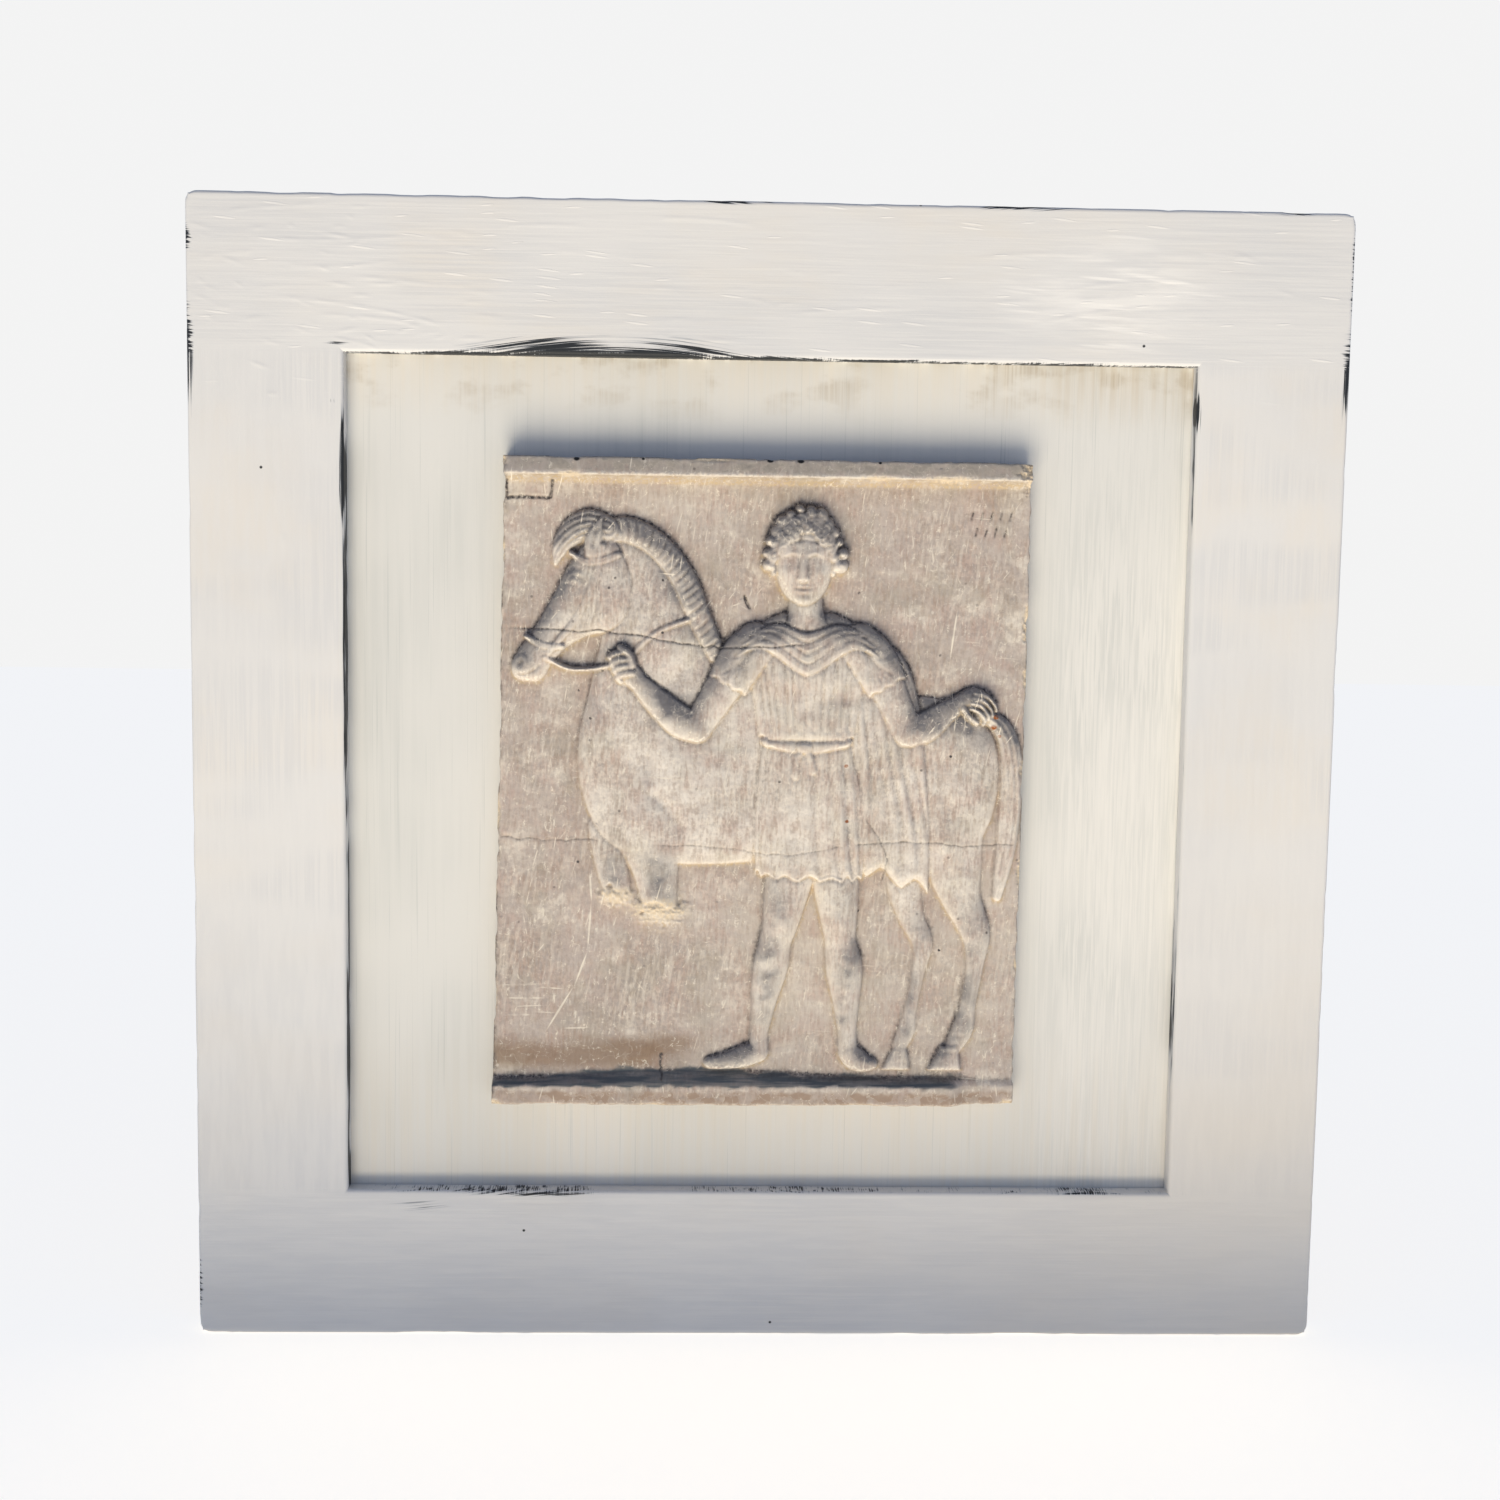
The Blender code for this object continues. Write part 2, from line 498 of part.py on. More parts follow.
def carve_tunic(carving):
    """The belted tunic: a pleated skirt with a waved hem, and a bloused upper part."""
    skirt_stations = [(108, 28, 31.5, 7.8), (130, 27.5, 31.5, 8.6), (150, 27, 31, 9.2),
                      (168, 26.5, 29.5, 9.2), (182, 25.5, 27, 9.0), (196, 25, 25, 8.4)]
    levels, middles, halves, _ = np.array(skirt_stations).T
    middle = np.interp(carving.up, levels, middles)[:, None]
    half = np.interp(carving.up, levels, halves)[:, None]
    around = np.arcsin(np.clip((carving.x - middle) / half, -1, 1)) / np.pi
    pleats = 8
    turn = pleats * around + 0.2 * np.sin(carving.z / 19) + 0.16 * np.sin(9 * around + carving.z / 31)
    wave = np.cos(2 * np.pi * (turn + 0.12))
    size = 0.8 + 0.32 * np.cos(2.4 * np.round(turn + 0.12) + 1)
    hem = 114 + 1.6 * size * wave + 7 * around ** 2 - 2.5 * around
    skirt = carving.column(skirt_stations).cut(hem - carving.z)
    carving.lay(skirt, groove=0.9, least=1.2)
    thigh = np.exp(-((carving.x - 16) / 13) ** 2 - ((carving.z - 134) / 34) ** 2)
    depth = np.interp(carving.up, [112, 150, 196], [1.35, 1.15, 0.6])[:, None] * (1 - 0.65 * thigh)
    folds = depth * (size * (np.clip(wave + 0.4, -1, 1) + 0.6) - 0.85)
    carving.rise += (1.1 * thigh + folds) * ramp(-skirt.out / 2.5)
    carving.lay(carving.strap([(2.6, 194), (25, 190.5), (47.4, 194)], 3.6, 9.2), groove=0.9, spread=2)
    carving.lay(carving.limb([(22, 191, 3.2, 10.6), (25, 190.6, 3.2, 10.6)]), groove=0.5, spread=1)
    torso = carving.column([
        (194, 25, 26.5, 9.6), (203, 25, 28.5, 10.2), (214, 25, 30, 9.8), (230, 25, 34, 10.2),
        (244, 25, 38, 9.8), (254, 25, 37, 8.8), (262, 25, 26, 8.0), (268, 25, 14, 7.4)],
        soft_top=6, soft_foot=4).cut(193 + 1.3 * size * wave + 12 * around ** 2 - carving.z)
    carving.lay(torso, groove=0.9, least=0.4)
    folds = 11
    for k in range(folds):
        lean = 2 * k / (folds - 1) - 1
        carving.groove([(25 + 31 * lean, 252), (25 + 27 * lean, 228), (25 + 24.5 * lean, 210),
                        (25 + 23.5 * lean, 197)], 1.0 + 0.3 * math.sin(2.4 * k), 1.4, within=torso)


def carve_arms(carving):
    """One arm raised to the rein, the other resting on the horse's croup, both in short sleeves."""
    leading = carving.joined([
        carving.limb([(-11, 244, 13, 9.2), (-21, 228, 11, 9.4), (-31, 212, 9.4, 9.2), (-38, 201, 8.8, 9.0)]),
        carving.limb([(-38, 201, 8.8, 9.0), (-48, 205, 9.4, 9.0), (-61, 216, 7.6, 9.0),
                      (-71, 226, 5.6, 9.0)]),
        carving.limb([(-71, 226, 5.4, 9.0), (-78, 233, 6.8, 9.4), (-83, 238, 6.6, 9.4)])], 1.5)
    resting = carving.joined([
        carving.limb([(61, 244, 13, 9.0), (70, 228, 10.6, 9.0), (78, 211, 9.2, 8.8), (83, 200, 8.6, 8.6)]),
        carving.limb([(83, 200, 8.6, 8.4), (93, 203, 8.8, 8.4), (104, 211, 6.8, 8.2), (113, 217, 5.2, 8.0)]),
        carving.limb([(113, 217, 5.2, 8.0), (120, 220, 6.2, 7.8), (124, 219.5, 5.4, 7.6)])], 1.5)
    for arm in (leading, resting):
        carving.lay(arm, groove=0.9, least=1.2)
    for points in ([(-125, 240), (-112, 234), (-98, 234), (-84, 237)],
                   [(-80, 232), (-73, 245), (-60, 256), (-44, 262.5)]):
        carving.lay(carving.strap(points, 1.6, 6.0), least=0.8, spread=1.0)
    fingers = 4
    for k in range(fingers):
        x, z = -84.5 + 1.5 * k, 243.4 - 4.0 * k
        closed = carving.limb([(x + 5, z + 0.6, 2.1, 10.6), (x, z, 2.3, 11.0),
                               (x - 3.4, z - 2.2, 2.2, 10.4), (x - 1.6, z - 4.4, 1.8, 9.4)])
        carving.lay(closed, groove=0.4, least=0.5, spread=1)
        laid = carving.limb([(121.5 - 0.8 * k, 222.5 - 2.9 * k, 1.9, 8.6),
                             (127.5 - 1.2 * k, 221.5 - 3.2 * k, 1.9, 8.6),
                             (132.5 - 1.8 * k, 216.5 - 3.0 * k, 1.6, 7.8),
                             (134 - 2.4 * k, 212.6 - 2.6 * k, 1.3, 7.0)])
        carving.lay(laid, groove=0.3, least=0.4, spread=1)
    for side in (-1, 1):
        shoulder = 25 + 36 * side
        sleeve = carving.limb([(shoulder - 6 * side, 250, 12, 9.6), (shoulder + 1.5 * side, 241, 13.4, 9.9),
                               (shoulder + 8 * side, 229, 12.6, 9.8)])
        mouth = (carving.x - shoulder - 10 * side) * side * 0.5 - (carving.z - 226) * 0.86
        carving.lay(sleeve.cut(mouth), spread=1.5)


def carve_head(carving):
    """The youth's neck, the gathered collar of the cloak, and the head with its cap of curls."""
    carving.lay(carving.limb([(24, 258, 12.5, 9.0), (23.5, 268, 10.4, 9.0), (23, 280, 10, 9.0)]), groove=0.3)
    folds = [(1.5, 3.0, 26, 7), (8, 3.6, 33, 6), (14, 3.4, 38, 3), (19, 2.6, 41, 0)]
    for k, (drop, half, reach, lift) in enumerate(folds):
        end_z, shoulder_z = 252 - 3.2 * k + lift, 256 - 2.2 * k + 0.3 * lift
        fold = carving.limb([
            (25 - reach, end_z, 0.3, 8.6), (25 - 0.62 * reach, shoulder_z, half, 10.0),
            (21, 255 - drop, 1.1 * half, 11.0), (29, 255.5 - drop, 1.1 * half, 11.0),
            (25 + 0.62 * reach, shoulder_z, half, 10.0), (25 + reach, end_z, 0.3, 8.6)])
        carving.lay(fold, groove=0.8, spread=2)
    skull = carving.limb([(22.5, 306, 20.5, 10.0), (22.5, 303, 21, 10.0), (22.5, 297, 19, 9.4)])
    carving.lay(skull, groove=1.0, spread=2)
    rings = ((20.0, 14, 4.1, -0.10), (15.0, 11, 4.0, -0.04))
    for radius, curls, half, low in rings:
        for k in range(curls):
            angle = math.pi * (low + (1 - 2 * low) * k / (curls - 1))
            away = radius + 1.3 * math.sin(7.3 * k + radius)
            x, z = 22.3 + away * math.cos(angle), 302 + (away + 2.6) * math.sin(angle)
            curl = carving.limb([(x, z, half, 11.0), (x + 0.6, z - 0.5, 0.9 * half, 11.0)])
            carving.lay(curl, groove=0.4, least=1.0, spread=1.2)
    face = carving.limb([(22, 292.6, 15.8, 11.0), (22, 290, 15.8, 11.4), (22, 286.5, 14.4, 11.2),
                         (22, 282.2, 10.4, 10.8)], power=2.8)
    carving.lay(face, groove=0.6, least=0.0, spread=2)
    middle, eye_line = 21.4, 297
    for side in (-1, 1):
        carving.swell(middle + 6.6 * side, eye_line, 3.9, 2.6, -0.7)
        carving.groove([(middle + 2.2 * side, 299.4), (middle + 6.4 * side, 301.8),
                        (middle + 11.4 * side, 299.2)], -0.6, 1.4)
    nose = carving.limb([(middle, 300.5, 2.2, 0.5), (middle, 295, 2.0, 1.2), (middle, 289.4, 2.6, 1.8),
                         (middle, 287.2, 2.9, 1.7)])
    carving.rise += nose.height
    for z, half_z in ((281, 1.8), (274.4, 2.8)):
        carving.swell(middle, z, 3.8, half_z, 0.8)


def figures(across, up):
    """Rise of the two figures over the plaque's front, in metres, for places given in metres."""
    carving = Carving((across - PLAQUE_RIGHT) / PART, (up - GROUND) / PART)
    for carve in (carve_horse, carve_horse_head, carve_cloak, carve_legs, carve_tunic, carve_arms,
                  carve_head):
        carve(carving)
    worn = np.maximum(blurred(carving.rise, 0.5 / carving.cell), 0)
    return worn * RELIEF_RISE / worn.max()


def mouldings(x, z):
    """Rise of the fillet with its hollow along the top, and of the ledge along the foot.

    The fillet leans back from its lower arris to the top, and the hollow under it is a quarter of an
    ellipse. The ledge slopes out from the ground line to a small nosing, and is broken off near its
    right end, where a low stub is left.
    """
    top = PLAQUE_UP + PLAQUE_HEIGHT / 2
    below_top = top - z
    fillet = FILLET_RISE - FILLET_LEAN * np.clip(1 - below_top / FILLET_HEIGHT, 0, 1)
    in_hollow = np.clip((below_top - FILLET_HEIGHT) / HOLLOW_HEIGHT, 0, 1)
    hollow = FILLET_RISE * (1 - np.sqrt(1 - (1 - in_hollow) ** 2))
    upper = np.where(below_top <= FILLET_HEIGHT, fillet, hollow)
    wave = LEDGE_WAVE * (np.sin(x / 0.034 + 1) + 0.5 * np.sin(x / 0.013))
    slope = np.clip((GROUND + wave - z) / LEDGE_SLOPE, 0, 1)
    break_at = PLAQUE_RIGHT + PLAQUE_WIDTH / 2 - LEDGE_BREAK_INSET
    broken = ramp((x - break_at) / LEDGE_BREAK_LENGTH + 0.5)
    nosing = LEDGE_RISE * (1 - broken) + LEDGE_STUB_RISE * broken
    lower = nosing * np.sin(slope * math.pi / 2) ** 1.5
    return np.maximum(upper, lower)


def places(low, high, wanted=()):
    """Even steps from low to high, with the nearest step moved onto each wanted place."""
    count = max(int(round((high - low) / CARVING_STEP)), 2)
    steps = np.linspace(low, high, count + 1)
    for place in wanted:
        if low < place < high:
            steps[1 + np.argmin(np.abs(steps[1:-1] - place))] = place
    return steps


def plaque(finish):
    """The plaster cast: a slab whose front is a height field, closed by its sides and a flat back."""
    left, right = PLAQUE_RIGHT - PLAQUE_WIDTH / 2, PLAQUE_RIGHT + PLAQUE_WIDTH / 2
    top = PLAQUE_UP + PLAQUE_HEIGHT / 2
    across = places(left, right)
    even_up = places(FOOT, top)
    up = places(FOOT, top, (GROUND - LEDGE_SLOPE, top - FILLET_HEIGHT, top - FILLET_HEIGHT - HOLLOW_HEIGHT))
    x, z = np.meshgrid(across, up)
    rise = np.maximum(mouldings(x, z), figures(across, even_up))
    back = PANEL_THICKNESS + FIT_GAP
    front = np.stack([x, -(back + SLAB_THICKNESS + rise), z], axis=-1).reshape(-1, 3)
    rows, columns = x.shape
    index = np.arange(rows * columns).reshape(rows, columns)
    quads = np.stack([index[:-1, :-1], index[:-1, 1:], index[1:, 1:], index[1:, :-1]], axis=-1)
    rim = np.concatenate([index[0, :-1], index[:-1, -1], index[-1, :0:-1], index[:0:-1, 0]])
    behind = front[rim] * (1, 0, 1) + (0, -back, 0)
    ring = len(front) + np.arange(len(rim))
    sides = np.stack([rim, ring, np.roll(ring, -1), np.roll(rim, -1)], axis=-1)
    faces = quads.reshape(-1, 4).tolist() + sides.tolist() + [ring[::-1].tolist()]
    mesh = bpy.data.meshes.new("plaque")
    mesh.from_pydata(np.vstack([front, behind]).tolist(), [], faces)
    mesh.update()
    piece = new_object("plaque", mesh, finish)
    fewer = piece.modifiers.new("Fewer faces", "DECIMATE")
    fewer.ratio = min(1, CARVING_FACES / (2 * len(faces)))
    return piece


def main():
    """Builds every piece of the plaque where it belongs."""
    clear_scene()
    white_paint = material("White chalk paint", (0.74, 0.72, 0.69), 0.55)
    panel_paint = material("Cream chalk paint", (0.70, 0.70, 0.64), 0.5)
    plaster = material("Toned casting plaster", (0.45, 0.39, 0.31), 0.8)
    frame(white_paint)
    panel(panel_paint)
    plaque(plaster)


main()
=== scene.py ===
"""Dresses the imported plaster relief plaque: the cast, its painted panel and the worn frame round them.

Run as a script in Blender 4.5. It is laid out as an add-on: each piece has its own operator, the sizes and
colours that a user would change are property groups, and a panel in the 3D view's sidebar lists them.

Lengths are metres and the work faces -Y, with its flat back at y = 0. The carving is worked out in
millimetres across (x) and up (z) from the ground line that the figures stand on.
"""

import math

import bpy
import numpy as np
from mathutils import Matrix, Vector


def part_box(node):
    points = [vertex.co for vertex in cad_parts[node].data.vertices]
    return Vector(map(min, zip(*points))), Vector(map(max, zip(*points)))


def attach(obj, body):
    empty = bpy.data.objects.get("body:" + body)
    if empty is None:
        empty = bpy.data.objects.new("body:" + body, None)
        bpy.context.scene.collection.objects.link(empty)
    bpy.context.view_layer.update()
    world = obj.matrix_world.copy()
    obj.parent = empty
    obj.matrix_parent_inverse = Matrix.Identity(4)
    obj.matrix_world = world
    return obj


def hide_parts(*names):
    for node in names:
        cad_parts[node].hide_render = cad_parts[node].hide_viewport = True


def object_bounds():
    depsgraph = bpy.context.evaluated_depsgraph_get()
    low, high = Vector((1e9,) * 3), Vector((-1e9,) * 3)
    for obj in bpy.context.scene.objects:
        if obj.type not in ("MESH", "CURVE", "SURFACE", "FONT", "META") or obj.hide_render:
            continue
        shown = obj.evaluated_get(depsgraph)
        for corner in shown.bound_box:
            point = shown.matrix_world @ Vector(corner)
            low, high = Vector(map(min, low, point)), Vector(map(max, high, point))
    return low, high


bl_info = {
    "name": "Relief plaque dresser",
    "version": (1, 0, 0),
    "blender": (4, 5, 0),
    "location": "3D View > Sidebar > Relief plaque",
    "description": "Makes the finished surfaces of a framed plaster relief plaque",
    "category": "Object",
}

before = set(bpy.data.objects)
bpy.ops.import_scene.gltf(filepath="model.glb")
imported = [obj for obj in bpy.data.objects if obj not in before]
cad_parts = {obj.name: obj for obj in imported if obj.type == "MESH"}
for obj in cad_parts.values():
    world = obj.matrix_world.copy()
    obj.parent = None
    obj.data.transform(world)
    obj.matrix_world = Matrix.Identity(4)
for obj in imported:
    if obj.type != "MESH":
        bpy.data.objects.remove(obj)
CAD_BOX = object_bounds()
MM = 0.001

CAST_LOW, CAST_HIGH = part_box("plaque")
PANEL_LOW, PANEL_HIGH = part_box("panel")
TOP_LOW, TOP_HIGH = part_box("frame_top")
FRAME_HALF_WIDTH, FRAME_HALF_HEIGHT = CAD_BOX[1].x, CAD_BOX[1].z
BOARD_WIDTH = TOP_HIGH.z - TOP_LOW.z
BOARD_THICKNESS = TOP_HIGH.y - TOP_LOW.y
OPENING_HALF_WIDTH = FRAME_HALF_WIDTH - BOARD_WIDTH
OPENING_HALF_HEIGHT = FRAME_HALF_HEIGHT - BOARD_WIDTH
FIT_GAP = 0.3 * MM

# The cast's own measures, in millimetres from the ground line at its middle
LEDGE_SLOPE, LEDGE_FACE, LEDGE_RISE, LEDGE_STUB = 9.5, 10.5, 7.5, 2.2
FILLET_HEIGHT, FILLET_RISE, FILLET_LEAN, HOLLOW_HEIGHT = 10.0, 10.0, 3.5, 5.5
CAST_MIDDLE = (CAST_LOW.x + CAST_HIGH.x) / 2
GROUND = CAST_LOW.z + (LEDGE_SLOPE + LEDGE_FACE) * MM
CAST_HALF = (CAST_HIGH.x - CAST_LOW.x) / 2 / MM
CAST_FOOT, CAST_TOP = (CAST_LOW.z - GROUND) / MM, (CAST_HIGH.z - GROUND) / MM
LEDGE_BREAK = CAST_HALF - 33

# How far right the slab's left and right sides stand at the top, and how much less at the foot, in mm
LEFT_LEAN, RIGHT_LEAN = (2.1, 5.9), (1.2, 1.8)

# The middle line of the youth's body and of the face, in mm
BODY_MIDDLE, FACE_MIDDLE = 25, 21.4

# The camera, in metres from the middle of the frame, and how it is turned, in degrees
CAMERA_PLACE = (-0.0466, -1.1676, 0.1373)
CAMERA_DOWN, CAMERA_RIGHT, CAMERA_ROLL = 5.84, 1.81, 0.67

# Where the key light comes from, in degrees below the horizontal and to the left of straight in front
KEY_BELOW, KEY_LEFT = 42, 14

# A level card in front shades the foot of the work from the key light: where its front edge is, and the level
# on the work that the light reaches past it, in metres
CARD_FRONT, LIT_FROM = -0.215, -0.215

WHITE = "#FFFFFF"


def linear(code):
    """An sRGB hex colour as linear red, green, blue and alpha."""
    shares = [int(code[k:k + 2], 16) / 255 for k in (1, 3, 5)]
    return tuple(c / 12.92 if c <= 0.04045 else ((c + 0.055) / 1.055) ** 2.4 for c in shares) + (1.0,)


def colour(name, code, description):
    """A colour that the user can change, from an sRGB hex value."""
    return bpy.props.FloatVectorProperty(name=name, description=description, subtype="COLOR", size=4,
                                         min=0, max=1, default=linear(code))


def length(name, value, description):
    """A length that the user can change, in metres."""
    return bpy.props.FloatProperty(name=name, description=description, default=value, min=0,
                                   precision=5, subtype="DISTANCE", unit="LENGTH")


def strength(name, value, description):
    """A strength that the user can change."""
    return bpy.props.FloatProperty(name=name, description=description, default=value, min=0)


class CastSettings(bpy.types.PropertyGroup):
    """Sizes and colours of the plaster cast."""

    cell: length("Carving step", 0.58 * MM, "Spacing of the grid that the front is worked out on")
    slab: length("Slab thickness", 13 * MM, "Thickness of the slab behind the carving")
    rise: length("Relief", 12.5 * MM, "How far the highest point of the figures stands from the field")
    triangles: bpy.props.IntProperty(name="Triangles", default=186000, min=20000,
                                     description="How many triangles the cast is brought down to")
    arris: length("Edge wear", 0.9 * MM, "How far the slab's front edges are worn back")
    field: colour("Field", "#C1B6AE", "Toned ground of the relief")
    brown: colour("Brown tone", "#A89484", "Rosy brown patches in the ground")
    stain: colour("Stain", "#8C745E", "Brown stain above the ledge")
    # Painted light: this warm tone lies on the lower outlines, which face the light from below
    lit_lower_outline: colour("Ochre", "#D3BE9C", "Yellowed plaster in the lower outlines")
    blush: colour("Pink tone", "#C4AAA0", "Pinkish patches in the ground")
    moss: colour("Green-grey tone", "#A29E8D", "Greenish grey patches in the ground")
    # Also laid as a painted highlight on the lower-facing sides of the forms and along the lower edge of the
    # fillet
    cream: colour("Rubbed plaster", "#E9E1D4", "Plaster where the toning is thin or rubbed off")
    bare: colour("Broken plaster", "#DDCDB3", "Bare plaster in chips and broken stumps")
    # Mostly painted shade: laid on the upper sides of the forms, which face away from the light from below;
    # it also speckles the ground
    grey: colour("Grey wash", "#7C7B7F", "Wash that lies on the upper sides of the forms")
    # Used for dirt in the hollows and cracks, and as painted shade along the upper outlines and in the core
    # of the painted shade on the upper sides
    dark: colour("Contour tone", "#4E4B4C", "Dark tone in the hollows along the outlines")
    # Partly painted shade: the ledge's slope faces up, away from the light from below
    ledge: colour("Ledge tone", "#5F666B", "Charcoal tone on the slope of the ledge")
    # Partly painted shade: the fillet's face leans back, away from the light from below
    fillet: colour("Fillet tone", "#B5ACA0", "Grey tone on the face of the fillet")
    figures: colour("Figures", "#ECE5DB", "Paler wash over the figures")
    scratch: colour("Scratches", "#E9E1D2", "White plaster bared by scratches")
    rust: colour("Rust", "#9A5A2E", "Rust spots on the figures")
    soot: colour("Soot", "#22242A", "Black spots on the upper edge")


class FrameSettings(bpy.types.PropertyGroup):
    """Sizes and colours of the four painted boards."""

    arris: length("Arris", 2.2 * MM, "Radius of the boards' rounded front edges")
    rabbet: length("Rabbet", 9 * MM, "Width of the step that takes the panel")
    ridge: length("Brush ridges", 0.05 * MM, "Height of the ridges that the brush left in the paint")
    paint: colour("Paint", "#E6E6E5", "Off-white top coat")
    # Also laid as painted shade, cooler and darker towards the foot of the frame
    cool: colour("Cool tint", "#D3D5D8", "Cooler, thinner patches of the top coat")
    warm: colour("Warm tint", "#EBE4D8", "Warmer, thicker patches of the top coat")
    # Painted highlight: this paler colour stands in for the sheen on the upper board's thick strokes and
    # raised dashes
    thick: colour("Thick paint", "#F8F7F4", "Thick strokes on the upper board that catch the light")
    base: colour("Base coat", "#141A20", "Dark coat that shows where the paint is worn")
    edge: colour("Thin paint", "#7F8A99", "Bluish edge of a worn patch, where the paint is thin")
    wood: colour("Bare wood", "#D3BA93", "Unpainted backs of the boards")


class PanelSettings(bpy.types.PropertyGroup):
    """Colours of the painted panel."""

    paint: colour("Paint", "#E4E4E0", "Cream-white paint brushed upright")
    # Laid creamier along the upper edge, just under the upper board, and along the foot
    cream: colour("Cream tint", "#E8E1D3", "Yellowed paint along the upper edge")
    thin: colour("Thin paint", "#CDD0CD", "Greyer streaks where the grain shows through")
    pale: colour("Thick paint", "#F6F4EE", "Paler paint brushed on beside the cast")
    dirt: colour("Dirt", "#B5A78F", "Brownish smudges under the upper board")
    wood: colour("Bare wood", "#CDB68F", "Unpainted back of the panel")


class StudioSettings(bpy.types.PropertyGroup):
    """The floor, the light and the camera."""

    floor: colour("Floor", "#FFF0D8", "Plain pale floor")
    floor_reach: length("Floor reach", 6.0, "Half the side of the floor")
    key: strength("Key light", 2.70, "Strength of the low light from in front")
    key_size: bpy.props.FloatProperty(name="Key size", default=math.radians(40), min=0, subtype="ANGLE",
                                      unit="ROTATION", description="How wide the key light looks")
    room: strength("Room light", 0.36, "Strength of the light from all round")
    floor_glow: strength("Floor glow", 0.42, "Light that the floor gives of itself")
    floor_shown: strength("Floor shown", 0.68, "The floor's own light as the camera sees it")
    backdrop: strength("Backdrop", 0.90, "Brightness of the background behind the work")
    warm: colour("Key colour", "#FFF0D5", "Warm light from below")
    cool: colour("Room colour", "#C8DAFF", "Cool light from all round")
    lens: bpy.props.FloatProperty(name="Lens", default=48.0, min=1, unit="CAMERA",
                                  description="Focal length on a sensor 36 mm wide")


def curve_through(points, closed=False, steps=6):
    """Smooth curve through rows of numbers, every column alike.

    Between two rows b and c with neighbours a and d it is the Catmull-Rom cubic
    (2b + (c - a) t + (2a - 5b + 4c - d) t^2 + (3b - a - 3c + d) t^3) / 2, for t from 0 to 1.
    """
    rows = np.asarray(points, float)
    count = len(rows)
    start = np.arange(count if closed else count - 1)

    def row(shift):
        index = (start + shift) % count if closed else np.clip(start + shift, 0, count - 1)
        return rows[index][:, None]

    before, here, there, after = row(-1), row(0), row(1), row(2)
    t = np.linspace(0, 1, steps, endpoint=False)[None, :, None]
    curve = 0.5 * (2 * here + (there - before) * t
                   + (2 * before - 5 * here + 4 * there - after) * t ** 2
                   + (3 * here - before - 3 * there + after) * t ** 3)
    curve = curve.reshape(-1, rows.shape[1])
    return curve if closed else np.vstack([curve, rows[-1:]])


def ramp(value):
    """3t^2 - 2t^3 of the value held between 0 and 1: a soft step."""
    t = np.clip(value, 0, 1)
    return t * t * (3 - 2 * t)


def bell(value):
    """e to the power of minus the value squared."""
    return np.exp(-value ** 2)


def dome(value, power=2.0):
    """The square root of 1 - v^power: 1 on a form's middle line, dropping steeply to 0 at its edge."""
    return np.sqrt(1 - np.clip(value, 0, 1) ** power)


def blurred(field, reach):
    """The field averaged with the weight e^(-k^2 / 2 reach^2) over k cells each way."""
    if reach < 0.3:
        return field
    cells = int(3 * reach) + 1
    weights = np.exp(-0.5 * (np.arange(-cells, cells + 1) / reach) ** 2)
    weights /= weights.sum()
    for axis in (0, 1):
        wide = np.pad(field, [(cells, cells) if axis == k else (0, 0) for k in (0, 1)], mode="edge")
        size = field.shape[axis]
        field = sum(weight * (wide[k:k + size] if axis == 0 else wide[:, k:k + size])
                    for k, weight in enumerate(weights))
    return field


def waves(x, z, finest, coarsest, count, seed):
    """A smooth random field: the mean of sines of random direction, phase and wavelength, about -1 to 1.

    Each is sin(2 pi (x cos a + z sin a) / wavelength + phase), and the long ones weigh more.
    """
    random = np.random.default_rng(seed)
    wavelength = np.exp(random.uniform(math.log(finest), math.log(coarsest), count))
    angle, phase = random.uniform(0, 2 * np.pi, (2, count))
    weight = wavelength ** 0.5
    total = sum(w * np.sin(2 * np.pi * (x * math.cos(a) + z * math.sin(a)) / wave + p)
                for w, a, wave, p in zip(weight, angle, wavelength, phase))
    return total * 1.4 / math.sqrt((weight ** 2).sum())


def from_stretch(x, z, start, end):
    """Where places lie beside a straight stretch: the share of the stretch at which each is nearest to it,
    held between 0 and 1, and the offsets across and up from that point."""
    (ax, az), (bx, bz) = start[:2], end[:2]
    square = max((bx - ax) ** 2 + (bz - az) ** 2, 1e-9)
    t = np.clip(((x - ax) * (bx - ax) + (z - az) * (bz - az)) / square, 0, 1)
    return t, x - ax - t * (bx - ax), z - az - t * (bz - az)


class Form:
    """A rounded form seen from the front, as arrays over the carving's grid.

    share is 1 on its middle and 0 at its outline, height is how far it stands from the field, and out is
    the distance outside its outline, negative within it. window holds the rows and columns it comes near.
    """

    def __init__(self, window, share, height, out):
        self.window, self.share, self.height, self.out = window, share, height, out

    def cut(self, beyond):
        """Takes away what lies where beyond is above 0."""
        keep = beyond < 0
        return Form(self.window, self.share * keep, self.height * keep, np.maximum(self.out, beyond))


